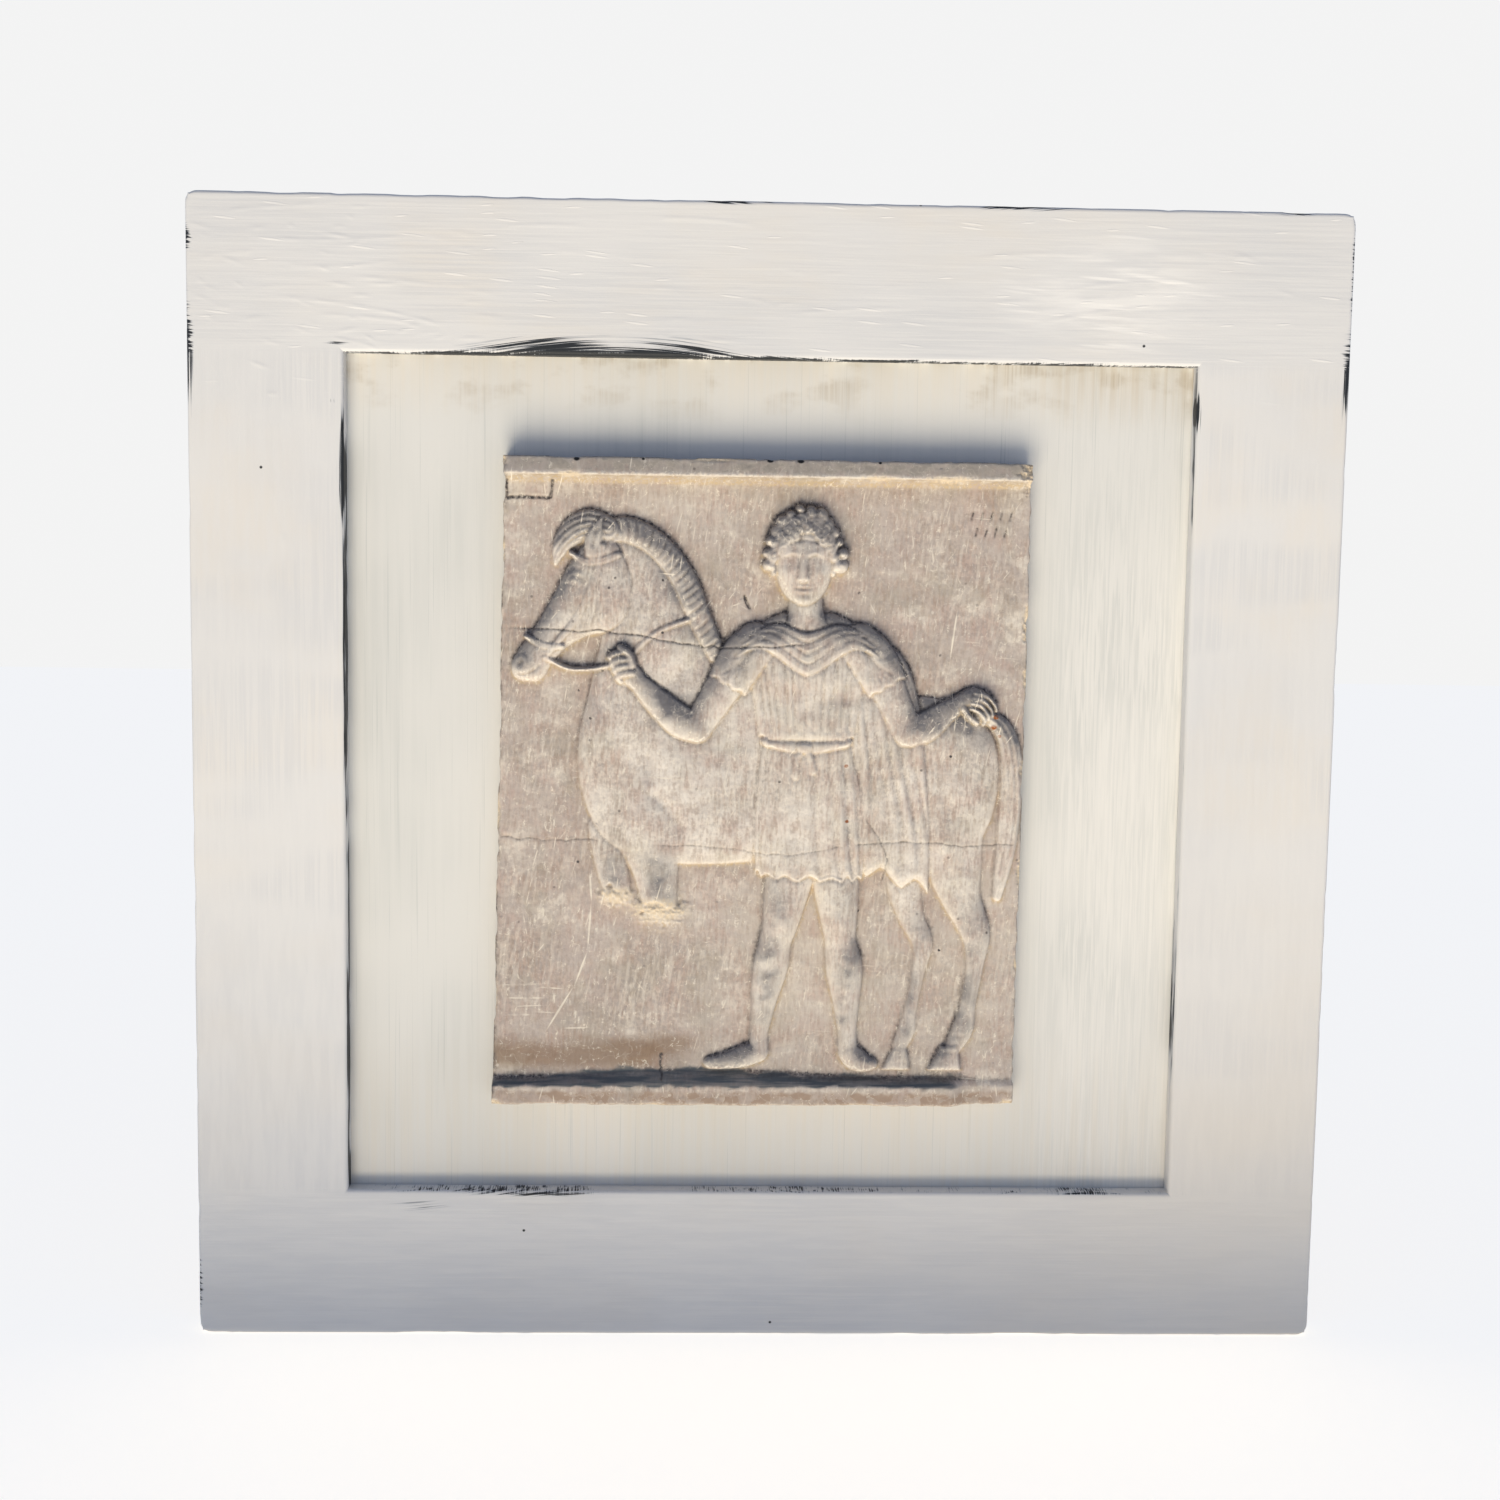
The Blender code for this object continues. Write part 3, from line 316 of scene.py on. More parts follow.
class Carving:
    """Height of the carved front over a grid of x and z, in millimetres, and where it is crumbled."""

    def __init__(self, across, up):
        self.across, self.up = across, up
        self.cell = across[1] - across[0]
        self.x, self.z = np.meshgrid(across, up)
        self.rise = np.zeros(self.x.shape)
        self.crumbled = np.zeros(self.x.shape)

    def window(self, path, margin):
        """The rows and columns of the grid that a path comes near."""
        low, high = path[:, :2].min(axis=0) - margin, path[:, :2].max(axis=0) + margin
        columns = slice(*np.searchsorted(self.across, (low[0], high[0])))
        rows = slice(*np.searchsorted(self.up, (low[1], high[1])))
        return rows, columns

    def turned(self, x, z, turn, window=...):
        """Places in a window of the grid, seen from the point x, z along and across a turn in degrees."""
        c, s = math.cos(math.radians(turn)), math.sin(math.radians(turn))
        u, v = self.x[window] - x, self.z[window] - z
        return u * c + v * s, v * c - u * s

    def spread(self, window, share, height, out):
        """A form over the whole grid from one worked out in a window of it."""
        form = Form(window, np.zeros(self.x.shape), np.zeros(self.x.shape), np.full(self.x.shape, 99.0))
        form.share[window], form.height[window], form.out[window] = share, height, out
        return form

    def limb(self, stations, power=2.0, steps=10):
        """A round form along a curve through stations (x, z, half width, height).

        With d the distance to the nearest point of a stretch of the curve, its height is the largest of
        height * sqrt(1 - (d / half width)^power).
        """
        path = curve_through(stations, steps=steps)
        window = self.window(path, path[:, 2].max() + 8)
        x, z = self.x[window], self.z[window]
        share, height, out = np.zeros(x.shape), np.zeros(x.shape), np.full(x.shape, 99.0)
        for start, end in zip(path[:-1], path[1:]):
            t, u, v = from_stretch(x, z, start, end)
            away = np.hypot(u, v)
            half, top = (start[k] + t * (end[k] - start[k]) for k in (2, 3))
            rounded = dome(away / half, power)
            share = np.maximum(share, rounded)
            height = np.maximum(height, rounded * top)
            out = np.minimum(out, away - half)
        return self.spread(window, share, height, out)

    def strap(self, points, half, top, power=4):
        """A flat band of one width and height along a curve."""
        return self.limb([(x, z, half, top) for x, z in points], power=power, steps=8)

    def outline(self, points, height, roll, curved=True, power=2.2):
        """A form inside an outline: height * sqrt(1 - (1 - d / roll)^power), d being the distance to it."""
        path = curve_through(points, closed=True, steps=8) if curved else np.asarray(points, float)
        window = self.window(path, 8)
        x, z = self.x[window], self.z[window]
        nearest, inside = np.full(x.shape, 1e4), np.zeros(x.shape, bool)
        for (ax, az), (bx, bz) in zip(path, np.roll(path, -1, axis=0)):
            _, u, v = from_stretch(x, z, (ax, az), (bx, bz))
            nearest = np.minimum(nearest, np.hypot(u, v))
            if az != bz:
                crossed = x < ax + (bx - ax) * (z - az) / (bz - az)
                inside ^= ((az > z) != (bz > z)) & crossed
        share = np.where(inside, dome(1 - nearest / roll, power), 0)
        return self.spread(window, share, share * height, np.where(inside, -nearest, nearest))

    def column(self, stations, soft_top=0.0, soft_foot=0.0, power=2.4):
        """An upright form from stations (z, middle, half width, height), from the foot up.

        At one level its height is height * sqrt(1 - (|x - middle| / half width)^power).
        """
        path = curve_through(stations, steps=8)
        middle, half, top = (np.interp(self.up, path[:, 0], path[:, k])[:, None] for k in (1, 2, 3))
        share = dome(np.abs(self.x - middle) / half, power)
        from_foot, from_top = self.z - path[0, 0], path[-1, 0] - self.z
        out = np.maximum(np.abs(self.x - middle) - half, -np.minimum(from_foot, from_top))
        for inside, soft in ((from_foot, soft_foot), (from_top, soft_top)):
            if soft:
                share = share * dome(1 - inside / soft)
        share = np.where(out < 0, share, 0)
        reach = path[:, 2].max()
        corners = np.array([(path[:, 1].min() - reach, path[0, 0]), (path[:, 1].max() + reach, path[-1, 0])])
        return Form(self.window(corners, 8), share, share * top, out)

    def joined(self, forms, fill):
        """Forms of one body: the higher of two heights a and b, plus (r - |a - b|)^2 / 4r in the valley
        between them, where r is the lesser of a, b and the fill."""
        whole = forms[0]
        for form in forms[1:]:
            reach = np.minimum(np.minimum(whole.height, form.height), fill) + 1e-9
            meet = np.maximum(reach - np.abs(whole.height - form.height), 0)
            height = np.maximum(whole.height, form.height) + meet ** 2 / (4 * reach)
            window = tuple(slice(min(a.start, b.start), max(a.stop, b.stop))
                           for a, b in zip(whole.window, form.window))
            whole = Form(window, np.maximum(whole.share, form.share), height, np.minimum(whole.out, form.out))
        return whole

    def lay(self, form, groove=0.7, least=0.6, spread=4.0, width=1.3):
        """Lays a form on the carving.

        With u the old height averaged over the spread and s the form's share, the new height inside is
        u (1 - s) + the larger of the form's height and (u + least) s. Outside, a groove of depth
        groove * e^(-(d / width)^2) runs along the outline at the distance d.
        """
        w = form.window
        out, rise = form.out[w], self.rise[w]
        soft = np.clip(-out / 0.9, 0, 1)
        share, height = form.share[w] * soft, form.height[w] * soft
        under = blurred(rise, spread / self.cell)
        top = under * (1 - share) + np.maximum(height, (under + least) * share)
        beside = rise - groove * bell(np.maximum(out, 0) / width)
        inside = np.clip(0.5 - out / self.cell, 0, 1)
        self.rise[w] = inside * np.maximum(top, 0) + (1 - inside) * beside

    def swell(self, x, z, half_x, half_z, amount, turn=0, within=None, edge=4.0):
        """Adds amount * e^(-(u / half_x)^2 - (v / half_z)^2), with u and v turned by some degrees."""
        reach = 3 * max(half_x, half_z)
        w = self.window(np.array([(x - reach, z - reach), (x + reach, z + reach)]), 0)
        u, v = self.turned(x, z, turn, w)
        inside = ramp(-within.out[w] / edge) if within else 1
        self.rise[w] += amount * bell(u / half_x) * bell(v / half_z) * inside

    def along(self, points, margin=10, steps=6):
        """A window near a curve and, in it, the distance to the curve, the run to the nearest point and
        the offset to the left of the run, then the curve's whole length."""
        path = curve_through(points, steps=steps)
        w = self.window(path, margin)
        x, z = self.x[w], self.z[w]
        runs = np.concatenate([[0], np.cumsum(np.hypot(*np.diff(path, axis=0).T))])
        away, run, side = (np.full(x.shape, value) for value in (99.0, 0.0, 0.0))
        for k, ((ax, az), (bx, bz)) in enumerate(zip(path[:-1], path[1:])):
            t, u, v = from_stretch(x, z, (ax, az), (bx, bz))
            nearer = np.hypot(u, v) < away
            away = np.where(nearer, np.hypot(u, v), away)
            run = np.where(nearer, runs[k] + t * (runs[k + 1] - runs[k]), run)
            side = np.where(nearer, np.sign((bx - ax) * v - (bz - az) * u), side)
        return w, away, run, side * away, runs[-1]

    def groove(self, points, depth, half, within=None, edge=2.0, fade=0.2):
        """Cuts depth * e^(-(d / half)^2) at the distance d from a curve, fading at both ends.

        A negative depth raises a ridge.
        """
        w, away, run, _, whole = self.along(points, margin=3 * half + 1)
        ends = np.clip(np.minimum(run, whole - run) / (fade * whole) + 0.15, 0, 1)
        inside = ramp(-within.out[w] / edge) if within else 1
        self.rise[w] -= depth * bell(away / half) * ends * inside


def carve_horse(c):
    """The horse behind the youth, facing left, its forelegs broken off below the chest."""
    trunk = c.outline([
        (-86, 312), (-64, 304), (-47, 284), (-36, 258), (-20, 234), (20, 222), (60, 217), (84, 221),
        (106, 218), (124, 209), (135, 194), (138, 172), (134, 150), (125, 132), (112, 120), (88, 136),
        (40, 128), (-10, 122), (-50, 121), (-78, 128), (-96, 144), (-105, 168), (-106, 194), (-101, 218),
        (-97, 238), (-94, 256), (-100, 288)], 4.6, 16)
    far_hind = c.joined([
        c.limb([(92, 138, 15, 3.0), (84, 112, 11, 2.8), (88, 92, 8, 2.6), (95, 76, 6.5, 3.0),
                (93, 58, 4.4, 2.6), (89, 36, 4.2, 2.6), (87, 24, 5.6, 3.0), (83, 15, 4.8, 3.0)]),
        c.outline([(72, 0), (90, 0), (89, 8), (87, 15), (79, 14)], 3.4, 4, curved=False, power=4)], 0.6)
    far_fore = c.limb([(-86, 142, 14, 3.6), (-86, 124, 10.5, 3.8), (-83, 108, 8.5, 3.4)])
    near_hind = c.limb([
        (108, 156, 22, 2.6), (112, 124, 17, 4.6), (117, 103, 12, 4.7), (126, 82, 8.8, 5.2),
        (126, 62, 5.6, 4.3), (122.5, 38, 5.2, 4.3), (120, 25, 6.8, 4.8), (115, 15, 5.6, 4.6)])
    near_hoof = c.outline([(99, 0), (120, 0), (119, 9), (117, 17), (107, 15.5)], 5.2, 5, curved=False,
                          power=4)
    near_fore = c.limb([(-70, 156, 22, 2.6), (-63, 130, 16, 4.8), (-60, 113, 12.5, 5.2),
                        (-58, 98, 10.5, 4.9)])
    c.lay(far_hind)
    c.groove([(88, 132), (84, 112), (90, 92)], -0.5, 4, within=far_hind)
    c.swell(94, 78, 4, 5, 0.5, within=far_hind)
    c.lay(far_fore)
    body = c.joined([trunk, near_hind, near_fore, near_hoof], 3.5)
    c.lay(body, groove=0.8)
    for muscle in [(-88, 200, 15, 24, 1.8, 0), (-60, 190, 13, 32, 1.3, 25), (-34, 172, 28, 26, 1.0, 0),
                   (-66, 148, 14, 16, 1.4, 0), (98, 198, 20, 12, 1.4, -20), (120, 160, 12, 24, 1.5, 12),
                   (92, 160, 9, 20, 1.1, -14), (-66, 250, 12, 28, 1.4, 24), (-82, 232, 8, 26, 0.8, 10),
                   (-6, 142, 30, 12, 0.8, 0), (116, 118, 7, 16, 0.8, 22), (-60, 116, 8, 16, 0.8, 4)]:
        c.swell(*muscle, within=body)
    for hollow in [([(-40, 246), (-56, 220), (-66, 192), (-64, 164)], 1.6, 4.2),
                   ([(-66, 164), (-52, 152), (-44, 138)], 1.1, 3.6),
                   ([(80, 212), (74, 184), (80, 158), (90, 140)], 1.5, 4.2),
                   ([(-76, 262), (-84, 238), (-90, 214)], 1.0, 3.2),
                   ([(-98, 222), (-90, 206), (-92, 186), (-98, 172)], 0.9, 2.8),
                   ([(106, 190), (104, 168), (110, 146)], 0.9, 3.2),
                   ([(104, 130), (112, 112), (121, 94)], 0.5, 2.2),
                   ([(127, 74), (125, 50), (122, 34)], -0.6, 1.6),
                   ([(129, 66), (128, 48), (125, 34)], 0.4, 1.1),
                   ([(109, 23), (116, 21), (126, 22)], 0.4, 1.3),
                   ([(104, 14), (110, 12), (119, 12)], 0.5, 0.9)]:
        c.groove(*hollow, within=body)
    for k in range(5):
        rib = -38 + 13 * k
        c.groove([(rib, 196), (rib + 6, 170), (rib + 4, 146)], 0.28, 3.6, within=body)
    c.groove([(108, 100), (114, 92), (122, 88)], -0.3, 1.0, within=body)
    spine = [(122, 209), (131, 208), (139, 201), (143.5, 186), (144, 160), (142, 130), (138, 104)]
    widths = [(3, 4.6), (4.6, 5.4), (5.8, 5.6), (6.5, 5.2), (6.8, 4.8), (6.0, 4.4), (3.2, 3.4)]
    tail = c.limb([(*point, *width) for point, width in zip(spine, widths)])
    c.lay(tail, groove=0.8)
    w, _, run, offset, _ = c.along(spine)
    strands = 0.55 * np.cos(2 * np.pi * (offset / 3.4 + 0.35 * np.sin(run / 15)))
    hairs = 0.16 * np.cos(2 * np.pi * (offset / 1.5 + 0.5 * np.sin(run / 11 + 1)))
    c.rise[w] += (strands + hairs) * ramp(-tail.out[w] / 2.2)
    break_off(c, -59, 99, 18, 8, 3)
    break_off(c, -83, 107, 11, 5.5, 4)


def break_off(c, x, z, half_x, half_z, seed):
    """A broken stump: the form is cut away below a ragged line, and a low rough patch is left there.

    The line wanders by random waves, and the patch is a bell with the same waves on it.
    """
    w = c.window(np.array([(x - 34, z - 30), (x + 34, z + 20)]), 0)
    across, up = c.x[w], c.z[w]
    grain = waves(across, up, 4, 20, 12, seed)
    near = np.exp(-((across - x) / half_x) ** 4)
    below = ramp((z + 3.2 * grain - up) / 2.6) * near
    patch = bell((across - x) / half_x) * bell((up - z + 4) / half_z)
    shards = np.abs(waves(across, up, 1.6, 6, 16, seed + 9))
    rough = 2.6 * patch + 1.1 * shards * np.sqrt(patch)
    c.rise[w] = c.rise[w] * (1 - below) + rough * below
    shown = ramp(1.5 * patch - 0.25) * (0.7 + 0.5 * shards) * ramp((z + 4 - up) / 4)
    c.crumbled[w] = np.maximum(c.crumbled[w], shown)


def carve_horse_head(c):
    """The horse's bridled head, with a cropped mane of curved locks along the crest of its neck."""
    head = c.outline([
        (-92, 313), (-103, 307), (-113, 293), (-122, 275), (-132, 257), (-141, 244), (-145, 236),
        (-143.8, 229.6), (-139.5, 226.4), (-134, 225.6), (-129, 226), (-124.6, 229.6), (-120.5, 237),
        (-112, 246), (-101, 252), (-88, 256), (-79, 266), (-77, 284), (-83, 302)], 6.4, 10)
    c.lay(head, groove=1.0, least=1.0)
    for swelling in [(-94, 273, 13, 13, 1.1, 0), (-124, 268, 3.4, 24, 0.9, -29), (-138, 234, 6, 6, 1.0, 0),
                     (-129, 229.5, 4, 2.6, 0.4, 20), (-117, 256, 9, 5, -1.0, 46),
                     (-107, 296, 5, 6, 0.9, 0), (-104, 286, 7, 3, -0.7, 60), (-112, 274, 4, 10, -0.4, -30)]:
        c.swell(*swelling, within=head, edge=3)
    c.groove([(-84, 304), (-79.5, 286), (-81, 268), (-89, 259), (-100, 255)], 0.5, 2.0, within=head)
    c.groove([(-87, 296), (-84, 280), (-87, 268), (-96, 261)], -0.4, 1.6, within=head)
    c.groove([(-116, 262), (-124, 250), (-131, 242)], -0.4, 1.4, within=head)
    c.swell(-108.2, 284.4, 5.4, 3.6, -1.3, -32)
    c.swell(-108.4, 284.2, 3.3, 2.4, 2.0, -32)
    c.groove([(-114.0, 282.4), (-110.6, 288.0), (-103.4, 287.0)], -0.9, 1.0)
    c.groove([(-113.4, 281.0), (-108.4, 279.8), (-103.8, 284.4)], -0.5, 0.8)
    c.groove([(-115.2, 285.6), (-110.6, 291.2), (-102.6, 290)], 0.6, 1.0)
    c.swell(-139.3, 236.4, 1.8, 2.9, -1.9, -30)
    c.groove([(-141.6, 239), (-138.8, 241), (-136.4, 238.4), (-137, 234.6)], -0.7, 0.9)
    c.groove([(-143.4, 230.6), (-136.6, 230.4), (-131, 233), (-126.6, 238)], 1.2, 0.8)
    crest = [(-97, 310, 6, 5.4), (-80, 313.5, 7.4, 6.0), (-62, 305, 7.4, 6.2), (-47, 287, 7.4, 6.2),
             (-37, 264, 7, 6.0), (-27, 243, 5.5, 5.4)]
    mane = c.limb(crest, power=5)
    c.lay(mane, least=1.2)
    w, _, run, offset, _ = c.along([station[:2] for station in crest])
    lock = run / 4.1 + 0.3 * np.sin(run / 9) + 0.06 * offset + 0.004 * offset ** 2
    between = (0.95 + 0.4 * np.sin(2.6 * np.floor(lock + 0.5))) * (0.5 + 0.5 * np.cos(2 * np.pi * lock)) ** 3
    hairs = 0.15 * np.cos(2 * np.pi * (2 * lock + 0.3 * np.sin(run / 6)))
    fringe = ramp((offset + 5.8) / 2.0) * ramp(-mane.out[w] / 1.2)
    parting = 0.9 * bell((offset + 5.6) / 0.8) * ramp(-mane.out[w] / 1.5)
    c.rise[w] -= (between + hairs) * fringe + parting
    tuft = [(-90, 314, 6.4, 6.2), (-101, 316.5, 8.6, 6.8), (-111, 311, 7.8, 6.4), (-117.5, 302, 5.0, 5.6),
            (-120, 293.5, 1.6, 4.6)]
    forelock = c.limb(tuft)
    c.lay(forelock, least=1.0)
    w, _, run, offset, _ = c.along([station[:2] for station in tuft])
    between = (0.5 + 0.5 * np.cos(2 * np.pi * (offset / 3.3 + run / 24))) ** 1.5
    c.rise[w] -= 1.1 * between * ramp(-forelock.out[w] / 1.4)
    c.lay(c.limb([(-99, 300, 4.6, 7.6), (-98.4, 308, 4.8, 8.0), (-93.6, 320, 1.2, 6.8)]), least=0.8)
    c.groove([(-99, 302), (-98, 309), (-95.5, 315)], 1.5, 1.5)
    for points in ([(-93, 304), (-98, 283), (-108, 262), (-124, 242)],
                   [(-136, 252), (-126, 247), (-115.5, 246.5)],
                   [(-111, 299.5), (-103, 295), (-94, 295.5), (-84, 299)]):
        band = c.strap(points, 1.9, 7.0, power=8)
        c.lay(band, spread=1.0, width=1.0, groove=0.5)
        c.groove(points, 0.4, 0.7, within=band, edge=0.8)


def carve_cloak(c):
    """The cloak that hangs behind the youth, with long folds and a stepped hem.

    A fold is a wave across the cloak, cos(2 pi (4.5 u + ...)), whose phase wanders slowly on the way down.
    """
    hem, step = 104, 5.0
    edge = curve_through([(52, 258), (70, 252), (83, 238), (90, 214), (94, 180), (97, 140), (98, hem)],
                         steps=5)
    stepped = [(98 - step * k + 1.2 * (-1) ** k, hem + 1.5 * k + (7 if k % 4 in (1, 2) else 0))
               for k in range(1, 9)]
    cloak = c.outline([*map(tuple, edge), *stepped, (56, 130), (50, 200)], 6.4, 6, curved=False)
    c.lay(cloak, least=1.6, groove=0.8)
    fallen = np.clip((250 - c.z) / (250 - hem), 0, 1)
    left, right = 54 + 4 * fallen, 66 + 34 * fallen ** 0.6
    u = (c.x - left) / (right - left)
    turn = 4.5 * u + 0.25 * np.sin(c.z / 16 + 3 * u) - 0.2
    size = 0.8 + 0.3 * np.cos(2.4 * np.round(turn))
    folds = size * (np.clip(np.cos(2 * np.pi * turn) + 0.4, -1, 1) + 0.6) - 0.85
    c.rise += 1.25 * folds * ramp(-cloak.out / 2) * (0.5 + 0.5 * fallen)
    c.rise -= 0.35 * bell((cloak.out + 2.0) / 0.6) * (c.z < 125)


def carve_legs(c):
    """The youth's legs: one carries the weight, the other is relaxed and turned to the left."""
    weight_leg = c.joined([
        c.limb([(41, 130, 15.5, 8.0), (44, 108, 13.6, 8.6), (46, 88, 10.8, 8.8), (47, 76, 9.6, 7.8),
                (49.5, 61, 11.2, 7.8), (51, 41, 8.2, 7.0), (52, 21, 5.8, 6.4), (52.5, 14, 6.4, 6.6)]),
        c.limb([(53, 11, 6.6, 7.0), (57, 7.0, 7.4, 6.8), (62, 4.6, 5.8, 5.8), (66.5, 3.8, 4.2, 4.6)])], 0.8)
    relaxed_leg = c.joined([
        c.limb([(19, 130, 15.5, 8.4), (15.5, 108, 13.6, 9.6), (12, 88, 11.0, 10.4), (9, 76, 9.8, 8.8),
                (6.5, 61, 10.6, 8.0), (3, 41, 7.8, 7.0), (0.5, 21, 5.6, 6.4), (0, 14, 6.2, 6.6)]),
        c.limb([(-0.5, 11, 7.0, 7.0), (-10, 7.6, 6.8, 6.6), (-20, 5.0, 5.2, 5.8),
                (-28, 4.0, 4.0, 4.6)])], 0.8)
    for leg in (weight_leg, relaxed_leg):
        c.lay(leg, groove=0.8)
    for x, z in ((46, 88), (12, 88)):
        c.swell(x, z + 1, 4.6, 5.6, 0.9)
        c.swell(x + 0.5, z - 9, 3.2, 3.4, 0.5)
        for side in (-1, 1):
            c.swell(x + 6.4 * side, z - 1, 1.8, 6.0, -0.5)
            c.swell(x + 4.6 * side, z + 11, 3.2, 6.0, 0.5, turn=-12 * side)
        c.swell(x + 8.0, z - 26, 3.6, 13, 0.7)
        c.swell(x - 4.6, z - 28, 3.2, 12, 0.5)
    for shin in ([(47, 76), (49.5, 56), (51.5, 30)], [(9.5, 76), (6, 56), (2, 30)]):
        c.groove(shin, -0.55, 1.6)
    for x, z in ((58.0, 19), (47.0, 17), (-5.0, 19), (5.6, 17)):
        c.swell(x, z, 1.8, 2.2, 0.9)
    for k in range(5):
        c.groove([(-17.5 - 2.6 * k, 4.6 - 0.2 * k), (-21.5 - 2.4 * k, 1.4)], 0.7, 0.6)
        c.groove([(57.5 + 2.2 * k, 5.8 - 0.7 * k), (59.0 + 2.3 * k, 1.2)], 0.7, 0.6)


def carve_tunic(c):
    """The belted tunic: a pleated skirt with a waved hem, a tied belt and a bloused upper part.

    A pleat is a wave in the angle round the body, cos(2 pi (8 a + ...)), with a = arcsin(u) / pi across it.
    """
    stations = [(108, 28, 31.5, 7.8), (130, 27.5, 31.5, 8.6), (150, 27, 31, 9.2),
                (168, 26.5, 29.5, 9.2), (182, 25.5, 27, 9.0), (196, 25, 25, 8.4)]
    levels, middles, halves, _ = np.array(stations).T
    middle = np.interp(c.up, levels, middles)[:, None]
    half = np.interp(c.up, levels, halves)[:, None]
    around = np.arcsin(np.clip((c.x - middle) / half, -1, 1)) / np.pi
    turn = 8 * around + 0.2 * np.sin(c.z / 19) + 0.16 * np.sin(9 * around + c.z / 31) + 0.12
    wave = np.cos(2 * np.pi * turn)
    size = 0.8 + 0.32 * np.cos(2.4 * np.round(turn) + 1)
    hem = 114 + 1.6 * size * wave + 7 * around ** 2 - 2.5 * around
    skirt = c.column(stations).cut(hem - c.z)
    c.lay(skirt, groove=0.9, least=1.2)
    thigh = bell((c.x - 16) / 13) * bell((c.z - 134) / 34)
    depth = np.interp(c.up, [112, 150, 196], [1.35, 1.15, 0.6])[:, None] * (1 - 0.65 * thigh)
    folds = depth * (size * (np.clip(wave + 0.4, -1, 1) + 0.6) - 0.85)
    folds += 0.16 * np.cos(2 * np.pi * (3 * turn + 0.2 * np.sin(c.z / 9))) * (1 - thigh)
    c.rise += (1.1 * thigh + folds) * ramp(-skirt.out / 2.5)
    c.rise -= 0.45 * bell((skirt.out + 2.2) / 0.55) * (c.z < 125)
    belt = c.strap([(2.6, 194), (25, 190.5), (47.4, 194)], 3.6, 9.2, power=6)
    c.lay(belt, groove=0.9, spread=2)
    c.groove([(0, 194.3), (25, 190.5), (50, 194.3)], -0.3, 2.0, within=belt)
    for end in ([(23, 190, 2.2, 10.2), (19.5, 183, 2.0, 10), (19, 174, 2.4, 9.8)],
                [(24, 190, 2.2, 10.2), (27.5, 184, 2.0, 10), (29, 177, 2.4, 9.8)]):
        c.lay(c.limb(end), groove=0.5, spread=1, least=0.6, width=1)
    c.lay(c.limb([(22, 191, 3.2, 10.6), (25, 190.6, 3.2, 10.6)]), groove=0.5, spread=1, width=1)
    torso = c.column([
        (194, 25, 26.5, 9.6), (203, 25, 28.5, 10.2), (214, 25, 30, 9.8), (230, 25, 34, 10.2),
        (244, 25, 38, 9.8), (254, 25, 37, 8.8), (262, 25, 26, 8.0), (268, 25, 14, 7.4)],
        soft_top=6, soft_foot=4).cut(193 + 1.3 * size * wave + 12 * around ** 2 - c.z)
    c.lay(torso, groove=0.9, least=0.4)
    for x in (10, 38):
        c.swell(x, 229, 9, 7, 0.8, within=torso)
    c.swell(24.5, 222, 3, 14, -0.5, within=torso)
    for k in range(13):
        lean = 2 * k / 12 - 1 + 0.04 * math.sin(5 * k)
        line = [(BODY_MIDDLE + 31 * lean, 252), (BODY_MIDDLE + 27 * lean + math.sin(3 * k), 228),
                (BODY_MIDDLE + 24.5 * lean, 210), (BODY_MIDDLE + 23.5 * lean, 197)]
        c.groove(line, 1 + 0.35 * math.sin(2.4 * k), 1.15, within=torso)
        c.groove([(x + 2.3, z) for x, z in line], -0.4, 1.1, within=torso)
    for k in range(7):
        x = 3 + 7.4 * k
        c.groove([(x, 206), (x + 2, 200.5), (x + 5, 199.5), (x + 7, 204)], 0.4, 0.9, within=torso)


